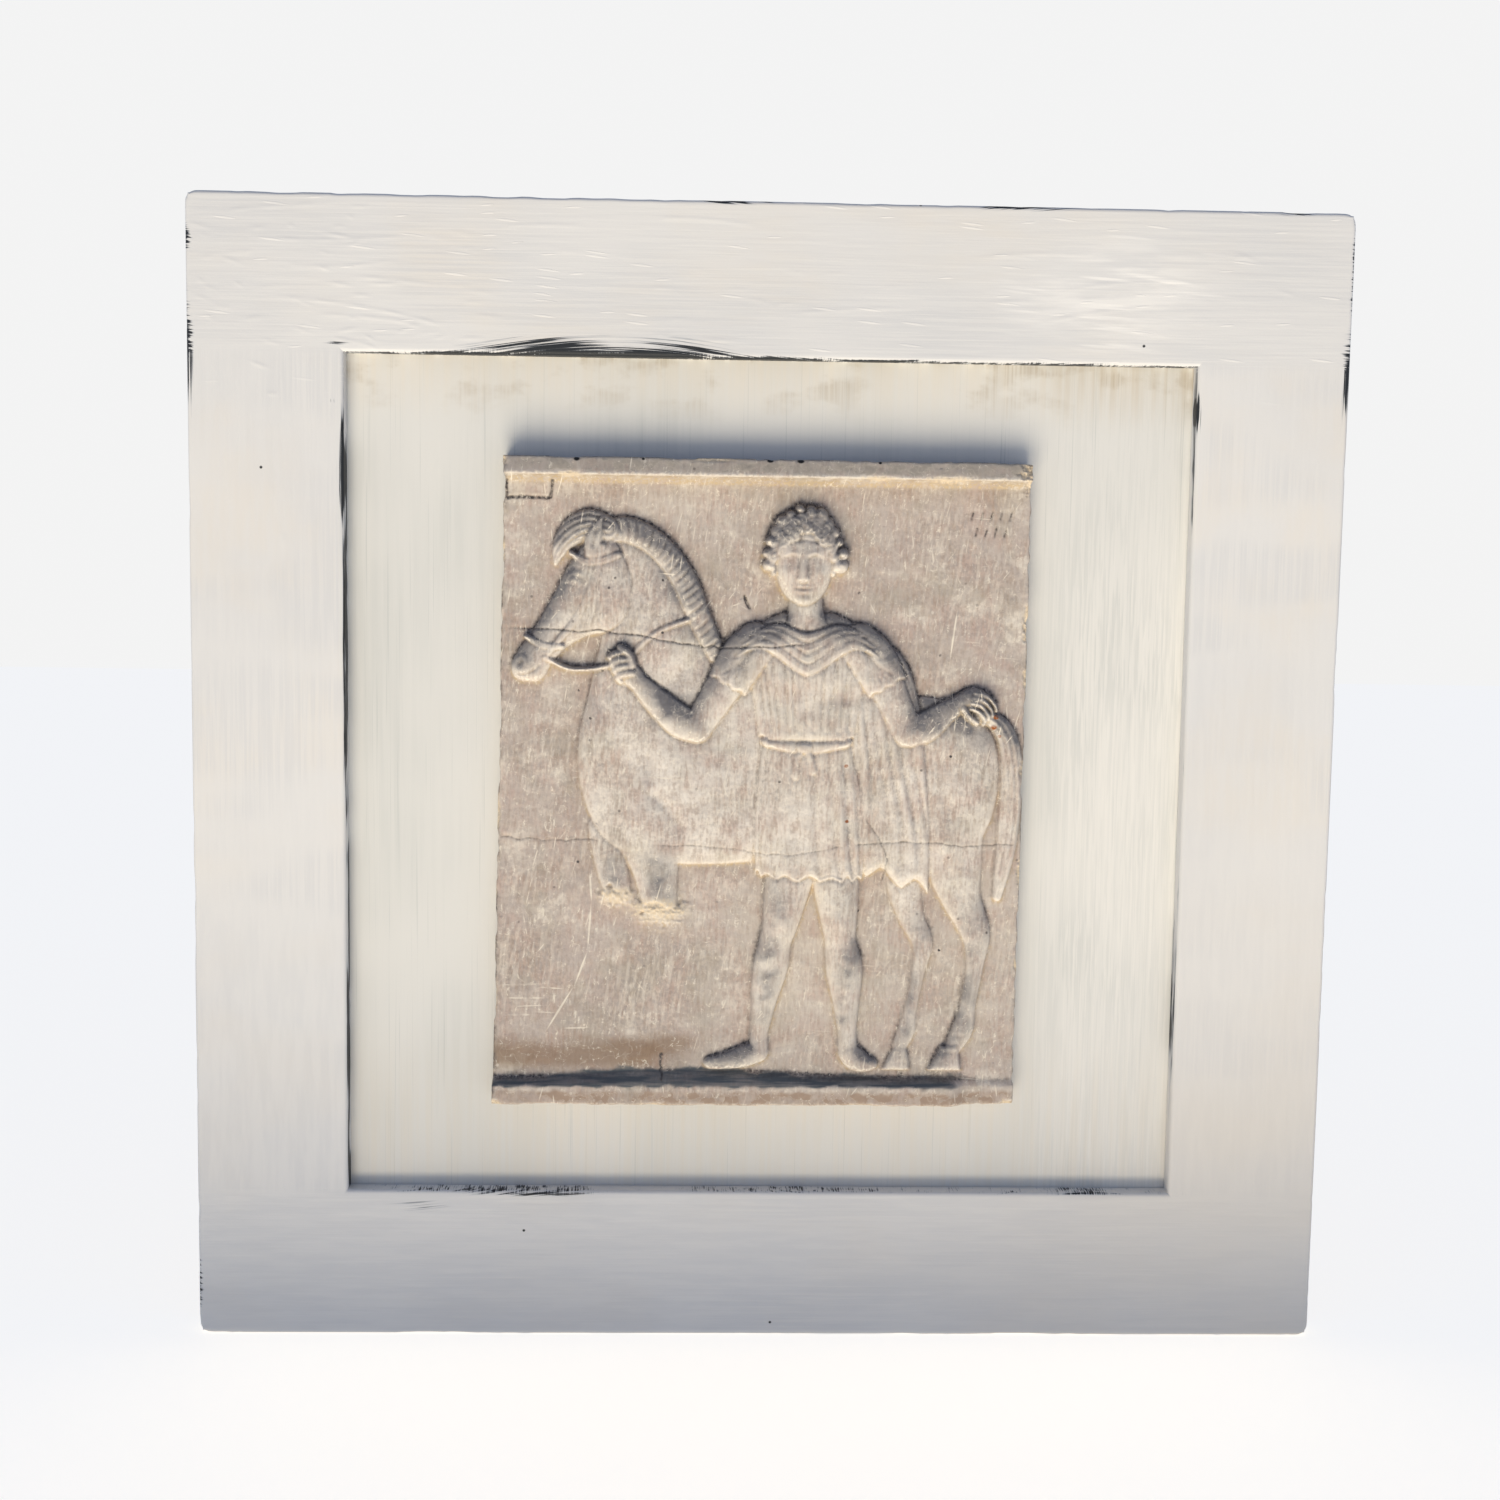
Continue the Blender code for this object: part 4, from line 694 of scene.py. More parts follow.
def carve_arms(c):
    """One arm raised to the rein, the other resting on the horse's croup, both in short sleeves."""
    leading = c.joined([
        c.limb([(-11, 244, 13, 9.2), (-21, 228, 11, 9.4), (-31, 212, 9.4, 9.2), (-38, 201, 8.8, 9.0)]),
        c.limb([(-38, 201, 8.8, 9.0), (-48, 205, 9.4, 9.0), (-61, 216, 7.6, 9.0), (-71, 226, 5.6, 9.0)]),
        c.limb([(-71, 226, 5.4, 9.0), (-78, 233, 6.8, 9.4), (-83, 238, 6.6, 9.4)])], 1.5)
    resting = c.joined([
        c.limb([(61, 244, 13, 9.0), (70, 228, 10.6, 9.0), (78, 211, 9.2, 8.8), (83, 200, 8.6, 8.6)]),
        c.limb([(83, 200, 8.6, 8.4), (93, 203, 8.8, 8.4), (104, 211, 6.8, 8.2), (113, 217, 5.2, 8.0)]),
        c.limb([(113, 217, 5.2, 8.0), (120, 220, 6.2, 7.8), (124, 219.5, 5.4, 7.6)])], 1.5)
    for arm in (leading, resting):
        c.lay(arm, groove=0.9, least=1.2)
    for muscle in [(-27, 219, 4.4, 11, 0.7, 32), (-34, 207, 3, 6, -0.3, 32), (-50, 208, 10, 4, 0.8, 38),
                   (-52, 202, 9, 3, 0.3, 38), (-70, 225, 3, 2.4, 0.4, 40), (74, 218, 4.4, 11, 0.7, -24),
                   (94, 206, 9, 3.6, 0.8, 32), (98, 202, 8, 2.6, 0.3, 32), (84, 198, 4, 3.4, 0.6, 0),
                   (-39, 199, 4, 3.4, 0.6, 0)]:
        c.swell(*muscle)
    for rein in ([(-125, 240), (-112, 234), (-98, 234), (-84, 237)],
                 [(-80, 232), (-73, 245), (-60, 256), (-44, 262.5)]):
        c.lay(c.strap(rein, 1.6, 6.0), least=0.8, spread=1.0, width=1, groove=0.6)
    for k in range(4):
        x, z = -84.5 + 1.5 * k, 243.4 - 4.0 * k
        closed = [(x + 5.0, z + 0.6, 2.1, 10.6), (x, z, 2.3, 11.0), (x - 3.4, z - 2.2, 2.2, 10.4),
                  (x - 1.6, z - 4.4, 1.8, 9.4)]
        c.lay(c.limb(closed), groove=0.5, width=0.7, least=0.5, spread=1)
        laid = [(121.5 - 0.8 * k, 222.5 - 2.9 * k, 1.9, 8.6), (127.5 - 1.2 * k, 221.5 - 3.2 * k, 1.9, 8.6),
                (132.5 - 1.8 * k, 216.5 - 3.0 * k, 1.6, 7.8), (134 - 2.4 * k, 212.6 - 2.6 * k, 1.3, 7.0)]
        c.lay(c.limb(laid), groove=0.4, width=0.7, least=0.4, spread=1)
    for thumb in ([(-75, 237, 2.6, 10.2), (-77.5, 243.5, 2.5, 11.2), (-82.5, 246.5, 2.2, 10.6)],
                  [(115, 213.5, 2.4, 8.6), (119, 208.5, 2.2, 8.2), (123, 205.5, 1.7, 7.6)]):
        c.lay(c.limb(thumb), groove=0.5, width=0.7, least=0.4, spread=1)
    for side in (-1, 1):
        x = BODY_MIDDLE + 36 * side
        sleeve = c.limb([(x - 6 * side, 250, 12, 9.6), (x + 1.5 * side, 241, 13.4, 9.9),
                         (x + 8 * side, 229, 12.6, 9.8)])
        wave = np.cos(2 * np.pi * ((c.x - x) * 0.5 * side + (c.z - 226) * 0.3) / 4.5)
        mouth = (c.x - x - 10 * side) * side * 0.5 - (c.z - 226) * 0.86 + 0.7 * wave
        sleeve = sleeve.cut(mouth)
        c.lay(sleeve, spread=1.5, width=1.2)
        for k in range(5):
            lean = -10 + 4.6 * k
            crease = [(x - (8 - 1.5 * k) * side, 252 - k), (x + (0.3 * lean + 1) * side, 240 - 0.4 * k),
                      (x + (lean * 0.8 + 8) * side, 221 + 2.6 * k)]
            c.groove(crease, 0.8, 1.0, within=sleeve, edge=1)


def carve_collar(c):
    """The neck, and the cloak's collar gathered round it in four hanging folds."""
    c.lay(c.limb([(24, 258, 12.5, 9.0), (23.5, 268, 10.4, 9.0), (23, 280, 10, 9.0)]), groove=0.3)
    for points in ([(14.0, 277), (18.5, 265), (22.6, 257)], [(32.0, 277), (28.5, 265), (25.4, 257)]):
        c.groove(points, -0.7, 1.5)
    c.swell(23.2, 259, 2.4, 3.0, -0.8)
    for k, (drop, half, reach, lift) in enumerate([(1.5, 3.0, 26, 7), (8, 3.6, 33, 6), (14, 3.4, 38, 3),
                                                   (19, 2.6, 41, 0)]):
        end, shoulder = 252 - 3.2 * k + lift, 256 - 2.2 * k + 0.3 * lift
        m = BODY_MIDDLE
        line = [(m - reach, end, 0.3, 8.6), (m - 0.62 * reach, shoulder, half, 10.0),
                (m - 4, 255 - drop, 1.1 * half, 11.0), (m + 4, 255.5 - drop, 1.1 * half, 11.0),
                (m + 0.62 * reach, shoulder, half, 10.0), (m + reach, end, 0.3, 8.6)]
        fold = c.limb(line)
        c.lay(fold, groove=0.9, spread=2, width=1.3)
        w, _, run, offset, _ = c.along([station[:2] for station in line])
        creases = np.cos(2 * np.pi * (offset / 2.3 + 0.2 * np.sin(run / 9 + k)))
        c.rise[w] += 0.2 * creases * ramp(-fold.out[w] / 1.5)


def carve_hair(c):
    """The head and its cap of curls, laid in three rings from the rim inwards.

    A curl is a small dome with the spiral cos(2 pi d / 2.5 - angle) on it, d being the distance from its
    middle. Its place on the ring, its size and its turn vary by sines of its number.
    """
    skull = c.limb([(22.5, 306, 20.5, 10.0), (22.5, 303, 21, 10.0), (22.5, 297, 19, 9.4)])
    c.lay(skull, groove=1.0, spread=2)
    for side in (-1, 1):
        ear = c.limb([(21.6 + 17.8 * side, 297.5, 2.8, 10.4), (21.6 + 16.8 * side, 289.5, 1.9, 10.2)])
        c.lay(ear, groove=0.5, width=0.9, spread=1)
        c.swell(21.6 + 17.6 * side, 296.0, 1.2, 2.8, -0.9)
    rings = ((20.0, 14, 4.1, 0.0, -0.10), (15.8, 12, 4.0, 0.5, -0.06), (11.4, 9, 3.9, 0.0, 0.02))
    for radius, count, size, shift, low in rings:
        for k in range(count):
            angle = math.pi * (low + (1 - 2 * low) * (k + 0.5 * shift) / (count - 1 + shift))
            wander = 1.5 * math.sin(7.3 * k + radius) + 0.5 * math.sin(2.9 * k)
            x = 22.3 + (radius + wander) * math.cos(angle)
            z = 302.0 + (radius + 2.6 + wander) * math.sin(angle)
            half = size * (1 + 0.24 * math.sin(5 * k + radius))
            turn = 1 if (k + int(radius)) % 2 else -1
            curl = c.limb([(x, z, half, 11.0), (x + 0.6 * turn, z - 0.5, half * 0.9, 11.0)])
            c.lay(curl, groove=0.5, width=0.8, least=1.0, spread=1.2)
            w = curl.window
            away = np.hypot(c.x[w] - x, c.z[w] - z)
            round_it = np.arctan2(c.z[w] - z, turn * (c.x[w] - x))
            c.rise[w] += 0.42 * np.cos(2 * np.pi * away / 2.5 - round_it + k) * ramp(-curl.out[w] / 0.8)


def carve_face(c):
    """A calm, plain face: brows, eyes, nose, lips and chin on an even oval."""
    face = c.limb([(22, 292.6, 15.8, 11.0), (22, 290, 15.8, 11.4), (22, 286.5, 14.4, 11.2),
                   (22, 282.2, 10.4, 10.8)], power=2.8)
    c.lay(face, groove=0.6, least=0.0, spread=2, width=0.9)
    m = FACE_MIDDLE
    for side in (-1, 1):
        c.swell(m + 6.6 * side, 297.4, 3.9, 2.6, -1.5)
        c.swell(m + 6.6 * side, 297.0, 2.7, 1.55, 1.25)
        c.groove([(m + 2.2 * side, 299.4), (m + 6.4 * side, 301.8), (m + 11.4 * side, 299.2)], -0.75, 1.2)
        c.groove([(m + 3.2 * side, 296.6), (m + 6.4 * side, 299.0), (m + 10.2 * side, 296.6)], -0.5, 0.55)
        c.groove([(m + 3.6 * side, 296.0), (m + 6.6 * side, 294.9), (m + 9.8 * side, 296.2)], -0.35, 0.5)
        c.swell(m + 9.4 * side, 289.5, 4.4, 4.6, 0.6)
        c.swell(m + 2.5 * side, 286.8, 1.2, 1.2, 0.8)
        c.groove([(m + 3.8 * side, 286.4), (m + 5.6 * side, 283.4)], 0.3, 0.8)
        c.swell(m + 1.5 * side, 282.6, 1.9, 0.9, 0.7)
    nose = c.limb([(m, 300.5, 2.2, 0.5), (m, 295, 2.0, 1.4), (m, 289.4, 2.6, 2.2), (m, 287.2, 2.9, 2.1)],
                  power=1.7)
    c.rise += nose.height
    c.swell(m, 285.2, 0.7, 1.4, -0.35)
    c.swell(m, 279.7, 3.0, 1.05, 0.95)
    c.groove([(m - 4.8, 281.4), (m - 2, 281.6), (m, 281.1), (m + 2, 281.6), (m + 4.8, 281.4)], 0.95, 0.5)
    c.swell(m, 277.8, 2.6, 0.8, -0.45)
    c.swell(m, 274.4, 3.8, 2.8, 0.9)


def sinking(line, x, at_left):
    """A level line, in mm, lowered as the ground line is: softly by at_left on the way to the left end and by
    3.6 mm right of the middle."""
    return line - at_left * ramp((-50 - x) / 100) ** 1.5 - 3.6 * ramp((x + 20) / 60)


def mouldings(x, z):
    """Rise of the fillet with its hollow along the top, and of the ledge along the foot.

    The fillet leans back evenly from its lower arris to the top, and the hollow under it is a quarter of an
    ellipse. The ledge slopes out from a slightly waved ground line as a sine to the power 1.5, and is broken
    off near its right end, where a low stub is left.
    """
    below_top = CAST_TOP - z
    fillet = FILLET_RISE - FILLET_LEAN * np.clip(1 - below_top / FILLET_HEIGHT, 0, 1)
    in_hollow = np.clip((below_top - FILLET_HEIGHT) / HOLLOW_HEIGHT, 0, 1)
    hollow = FILLET_RISE * (1 - np.sqrt(1 - (1 - in_hollow) ** 2))
    upper = np.where(below_top <= FILLET_HEIGHT, fillet, hollow)
    from_middle = x + CAST_MIDDLE / MM
    wave = 0.8 * (np.sin(from_middle / 34 + 1) + 0.5 * np.sin(from_middle / 13))
    wave = sinking(wave, x, 5.6)
    slope = np.clip((wave - z) / (LEDGE_SLOPE + np.minimum(wave, 0)), 0, 1)
    broken = ramp((x - LEDGE_BREAK) / 12 + 0.5)
    nosing = LEDGE_RISE * (1 - broken) + LEDGE_STUB * broken
    return np.maximum(upper, nosing * np.sin(slope * math.pi / 2) ** 1.5)


def jagged(points, wander, seed):
    """A curve through points with each place on it moved by a normal random step."""
    path = curve_through(points, steps=7)
    path[1:-1] += np.random.default_rng(seed).normal(0, wander, path[1:-1].shape)
    return path


def crack_cast(c):
    """Cuts the hairline cracks, the inset patch's joint, the strokes at the upper right and a nick.

    Returns the depth of what was cut, which is where dirt collects.
    """
    before = c.rise.copy()
    for points, depth, half in [
            ([(-147, 256.6), (-87, 255), (-42.5, 248.5), (-25, 247.4), (25, 249)], 0.55, 0.55),
            ([(-150, 136), (-120, 134.5), (-93, 135.5)], 0.3, 0.5),
            ([(52, 134), (90, 136), (120, 134), (148, 135)], 0.3, 0.5),
            ([(-55.8, 10), (-56.5, 3), (-55, -6)], 0.6, 0.6),
            ([(-60, 133), (-20, 131), (12, 128), (48, 133)], 0.22, 0.5),
            ([(60, 150), (72, 128), (70, 110)], 0.3, 0.5)]:
        c.groove(jagged(points, 0.35, int(abs(points[0][0]))), depth, half, fade=0.05)
    left, right, low, high = -149.0, -123.5, 330.5, 341.0
    for side in ([(left, low), (left + 12, low + 0.6), (right, low)], [(right, low), (right + 0.8, high)],
                 [(left, low), (left - 0.4, high)]):
        c.groove(jagged(side, 0.2, 5), 1.1, 0.75, fade=0.03)
    c.groove([(-12, 277.5), (-10.4, 273), (-8.2, 268.8)], 1.3, 0.8, fade=0.3)
    for row, foot in enumerate((321, 311.5)):
        for k in range(5 - row):
            x, tall = 117 + 5.4 * k + 2.4 * row, 6.0 + math.sin(3.1 * k + row)
            c.groove([(x, foot), (x + 0.6, foot + tall / 2), (x + 1.4, foot + tall)], 0.5, 0.6, fade=0.25)
    return before - c.rise


def wear_cast(c, arris):
    """Wears the slab's front edges and breaks chips out of them, and returns where they are.

    With d the distance to the nearest edge, a worn arris falls back by arris (1 - sqrt(1 - (1 - d / r)^2)),
    r being the arris widened by a random wave. A chip takes depth * e^(-(away / size)^4) away, roughened.
    """
    right, left, high, low = CAST_HALF - c.x, CAST_HALF + c.x, CAST_TOP - c.z, c.z - CAST_FOOT
    edge = np.minimum(np.minimum(right, left), np.minimum(high, low))
    reach = arris * (1 + 0.6 * waves(c.x, c.z, 4, 40, 24, 11))
    fall = arris * (1 - np.sqrt(1 - np.clip(1 - edge / np.maximum(reach, 0.1), 0, 1) ** 2))
    chips = [(151, 351, 6.5, 11, 3.4), (150.6, 262, 2.2, 9, 2.0), (150.8, 231, 1.6, 6, 1.6),
             (151, 178, 2.4, 4, 1.8), (151, 118, 1.8, 8, 1.6), (151, 64, 1.6, 5, 1.4),
             (-151, 352, 2.2, 3, 1.6), (-151, 300, 1.4, 7, 1.2), (-151, 150, 1.3, 9, 1.2),
             (-151, 40, 1.5, 7, 1.3), (-150, -20, 5, 2.2, 2.0), (-60, -20.5, 9, 1.5, 1.4),
             (62, -20.5, 14, 1.4, 1.5), (148, -20, 5, 2.4, 2.4), (-112, 344, 6, 1.4, 0.9),
             (64, 344, 9, 1.2, 0.8), (104, 344, 12, 1.5, 1.0), (-30, 353, 12, 1.2, 0.8)]
    chipped = np.zeros(c.x.shape)
    rough = waves(c.x, c.z, 1.4, 7, 30, 12)
    for x, z, half_x, half_z, depth in chips:
        away = np.hypot((c.x - x) / half_x, (c.z - z) / half_z) + 0.22 * rough
        piece = np.exp(-np.clip(away, 0, 9) ** 4)
        fall = np.maximum(fall, piece * depth * (1 + 0.25 * rough))
        chipped = np.maximum(chipped, piece)
    c.rise -= fall
    return np.clip(chipped + 0.8 * np.clip(fall / arris, 0, 1) * ramp(rough), 0, 1)


def placed_shade(c):
    """Where shade is painted on the figures, as shares: the largest of listed bells, each with its middle,
    its half lengths, its turn in degrees and its share."""
    shade_patches = np.zeros(c.x.shape)
    for x, z, half_x, half_z, turn, amount in (
            (25, 246, 32, 13, 0, 0.10), (-16, 243, 12, 15, 30, 0.30), (66, 243, 12, 15, -30, 0.30),
            (112, 206, 34, 11, -10, 0.60), (60, 214, 60, 8, 0, 0.22), (-48, 274, 9, 32, 30, 0.50),
            (22, 318, 22, 9, 0, 0.60), (-112, 292, 8, 26, -32, 0.35), (-56, 211, 18, 5, 40, 0.35),
            (98, 212, 16, 5, 35, 0.35), (-58, 112, 9, 18, 0, 0.50), (-84, 118, 7, 12, 0, 0.40),
            (6, 60, 6, 34, -8, 0.42), (50, 50, 5, 34, -4, 0.42), (122, 56, 6, 40, 4, 0.50),
            (88, 50, 5, 40, -3, 0.42), (-30, 190, 30, 14, 0, 0.18)):
        u, v = c.turned(x, z, turn)
        shade_patches = np.maximum(shade_patches, amount * bell(u / half_x) * bell(v / half_z))
    return shade_patches


def tone_cast(c, cut, chipped):
    """Where each tone of the cast lies, by name, as shares from 0 to 1 over the grid.

    The tone gathers where the surface lies below its surroundings' average, and is rubbed off where the
    surface stands above it. Along the upper outlines and on the upper sides, which face away from the light
    from below, it is painted shade; on the lower-facing sides and outlines a painted highlight is laid. What
    a place, a depth or a slope is divided by is how far it takes, in millimetres or in rise over run, for the
    tone to come or go.
    """
    up_slope = np.gradient(blurred(c.rise, 0.8 / c.cell), c.cell, axis=0)
    upward = np.clip(-up_slope / 0.40, 0, 1)
    broad_slope = np.gradient(blurred(c.rise, 2.4 / c.cell), c.cell, axis=0)
    leaning_up = np.clip(-broad_slope / 0.35 - 0.15, 0, 1)
    downward = np.clip(up_slope / 0.6, 0, 1)
    above_form = blurred(upward, 1.8 / c.cell)
    shaded = blurred(np.roll(leaning_up, -int(4.5 / c.cell), axis=0), 4.2 / c.cell)
    wide, near = (blurred(c.rise, reach / c.cell) for reach in (3.4, 1.1))
    deep = ramp((wide - c.rise) / 1.7)
    fine = ramp((near - c.rise) / 0.32)
    proud = ramp((c.rise - near) / 0.35)
    on_figures = ramp(c.rise / 2.2) * (c.z > 2) * (c.z < CAST_TOP - FILLET_HEIGHT - HOLLOW_HEIGHT)
    below_top = CAST_TOP - c.z
    upper = sinking(1.0, c.x, 6.2) + 0.8 * waves(c.x, c.z, 5, 60, 20, 22)
    # The ledge's slope, which faces up away from the light: its dark tone is dirt and painted shade
    ledge = ramp((upper - c.z) / 1.4) * ramp((c.z + LEDGE_SLOPE + 0.5 * waves(c.x, c.z, 4, 30, 20, 23)) / 1.2)
    ledge *= ramp((LEDGE_BREAK + 6 - c.x + 4 * waves(c.x, c.z, 3, 12, 12, 21)) / 10)
    # The fillet's face, which leans back from the light: its grey is partly painted shade
    fillet = ramp((FILLET_HEIGHT - 1.6 - below_top + 0.6 * waves(c.x, c.z, 2, 16, 40, 29)) / 1.0)
    cloudy = 1 + 0.5 * waves(c.x, c.z, 5, 30, 40, 24)
    flaked, soaked = waves(c.x, c.z, 1.6, 14, 40, 27), waves(c.x / 3, c.z, 7, 30, 30, 28)
    calm = bell((c.x - 26) / 30) * bell((c.z - 195) / 48)
    left, right = CAST_HALF + c.x, CAST_HALF - c.x
    # Dark line along the slab's left and right edges: dirt on the worn arris, with painted shade where the
    # slab meets the panel
    edge_dirt_and_shade = (0.9 * bell(left / 1.4) + 0.5 * bell(right / 0.9)) * ramp(0.7 + waves(c.x, c.z, 3, 30, 20, 25))
    chest = bell((c.x - 25) / 44) * bell((c.z - 240) / 16)
    # A darker line just under the top of the ledge's slope, fading out towards the left
    ledge_top_darkening = 0.5 * bell((c.z - upper + 2.2) / 0.8) * ramp((c.x + 60) / 60) * ledge
    # Dirt settles in the hollows; the extra weight along the upper outlines is painted shade from the light
    # below
    settled_dirt_and_shade = 0.30 * deep * above_form + fine * (0.2 + 0.9 * above_form)
    settled_dirt_and_shade = settled_dirt_and_shade * (1 - 0.5 * calm) * (1 - 0.7 * ledge)
    # Painted shade on the upper sides of the forms, which face away from the light from below
    upper_side_shade = (0.25 * upward + 0.2 * leaning_up + 1.3 * shaded) * (1 - 0.6 * calm) * (1 - 0.4 * chest)
    return {
        # Dirt in the hollows and cracks, with painted shade along the upper outlines and the slab's edges
        "outline_dirt_and_shade": np.clip(settled_dirt_and_shade + 1.6 * np.clip(cut, 0, 1) + edge_dirt_and_shade + ledge_top_darkening, 0, 1),
        # Grey on the figures' upper sides: mostly painted shade, from the slopes and the listed shade
        # patches, with some grey wash
        "wash": np.clip(upper_side_shade + placed_shade(c) * cloudy, 0, 1) * on_figures,
        # Painted shade: a browner ground round the figures, where the raised forms shade the field
        "shade_near_figures": ramp(1.6 * blurred(on_figures, 9 / c.cell)) * (1 - on_figures),
        # Rubbed plaster on the high points, with a painted highlight on the lower-facing sides, which face
        # the light from below
        "rubbed": np.clip(0.8 * proud * (0.25 + 0.75 * downward) + 0.2 * downward * on_figures, 0, 1),
        # Painted light: a warm tone on the lower outlines, where they face the light from below
        "lit_lower_outline": np.clip(1.2 * downward * fine + 0.5 * downward * ramp((2.5 - c.rise) / 2), 0, 1) * (c.z > 0),
        "crumbled": np.clip(np.maximum(0.8 * c.crumbled, chipped), 0, 1),
        "figures": on_figures,
        "front": np.ones(c.x.shape),
        "ledge": ledge,
        "fillet": fillet,
        "foot": ramp((-LEDGE_SLOPE - 1.5 - c.z) / 1.5),
        "bare": (bell((c.x - 30) / 60) * bell((c.z - 60) / 60)
                 + bell((c.x - 130) / 30) * bell((c.z - 70) / 60)
                 + 0.8 * bell((c.x + 40) / 70) * bell((c.z - 328) / 16) + 1.2 * calm),
        # A cream line along the fillet's lower edge and the ledge's front arris: worn plaster, with a painted
        # highlight where the light from below catches the fillet's edge
        "worn_and_lit_lip": (bell((below_top - FILLET_HEIGHT - 0.7 * flaked) / 1.1) * ramp(0.9 + flaked)
                + 0.6 * bell((c.z + LEDGE_SLOPE + 1.5 + 0.5 * flaked) / 1.1) * ramp(0.7 + flaked)),
        "stain": (ramp((23 + 1.5 * soaked - c.z) / 12) * ramp((c.z + 4) / 9)
                  * ramp((-28 - c.x + 6 * soaked) / 40)
                  + 0.15 * bell((below_top - 19) / 5)),
    }


def closed_slab(name, x, z, front, back):
    """A mesh from the front surface y = front(x, z) on a grid, its four sides and a flat back."""
    skin = np.stack([x, front, z], axis=-1).reshape(-1, 3)
    index = np.arange(x.size).reshape(x.shape)
    quads = np.stack([index[:-1, :-1], index[:-1, 1:], index[1:, 1:], index[1:, :-1]], axis=-1)
    rim = np.concatenate([index[0, :-1], index[:-1, -1], index[-1, :0:-1], index[:0:-1, 0]])
    behind = skin[rim] * (1, 0, 1) + (0, back, 0)
    ring = len(skin) + np.arange(len(rim))
    sides = np.stack([rim, ring, np.roll(ring, -1), np.roll(rim, -1)], axis=-1)
    return new_mesh(name, np.vstack([skin, behind]),
                    quads.reshape(-1, 4).tolist() + sides.tolist() + [ring[::-1].tolist()])


def leaning(x, z):
    """How far the hand-cast slab runs out of square, in mm to the right.

    Each side leans evenly from its top to its foot, and the lean fades to the middle by the square of the
    way.
    """
    down = (CAST_TOP - z) / (CAST_TOP - CAST_FOOT)
    return sum(np.clip(side * x / CAST_HALF, 0, 1) ** 2 * (top - less * down)
               for side, (top, less) in ((-1, LEFT_LEAN), (1, RIGHT_LEAN)))


def wavering(c):
    """The grid with the slab's outline worn in by random waves, which reach a few millimetres inwards.

    With u the share of the way from the middle to the edge, the edge's shift is taken times u^70.
    """
    middle, half = (CAST_TOP + CAST_FOOT) / 2, (CAST_TOP - CAST_FOOT) / 2
    across, up = c.x / CAST_HALF, (c.z - middle) / half
    worn_in = 0.6 * np.clip(waves(c.x, c.z, 5, 60, 30, 26) + 0.4, 0, 1.8)
    return (c.x - worn_in * across * np.abs(across) ** 70 + leaning(c.x, c.z),
            c.z - 0.7 * worn_in * up * np.abs(up) ** 70)


def sampled(field, across, up, x, z):
    """The field's value at places between the grid's points, by weights that fall evenly to the next one."""
    u = np.clip((x - across[0]) / (across[1] - across[0]), 0, len(across) - 1.001)
    v = np.clip((z - up[0]) / (up[1] - up[0]), 0, len(up) - 1.001)
    i, j = u.astype(int), v.astype(int)
    s, t = u - i, v - j
    return ((field[j, i] * (1 - s) + field[j, i + 1] * s) * (1 - t)
            + (field[j + 1, i] * (1 - s) + field[j + 1, i + 1] * s) * t)


def put_shares(mesh, shares):
    """Stores each named array of shares as an attribute of the mesh's points."""
    for name, values in shares.items():
        mesh.attributes.new(name, "FLOAT", "POINT").data.foreach_set("value", values.astype(np.float32))


def points_of(mesh):
    """Places of the mesh's points, one row each."""
    places = np.empty(3 * len(mesh.vertices), np.float32)
    mesh.vertices.foreach_get("co", places)
    return places.reshape(-1, 3)


def new_mesh(name, places, faces):
    """A mesh from the places of its points and the points of its faces."""
    mesh = bpy.data.meshes.new(name)
    mesh.from_pydata(places, [], faces)
    mesh.update()
    return mesh


def in_scene(name, data):
    """An object of the scene with this data."""
    one = bpy.data.objects.new(name, data)
    bpy.context.scene.collection.objects.link(one)
    return one


def new_piece(name, mesh, material):
    """Puts a mesh into the scene as a piece that rides on the plaque's one body."""
    mesh.materials.append(material)
    piece = in_scene(name, mesh)
    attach(piece, "root")
    return piece


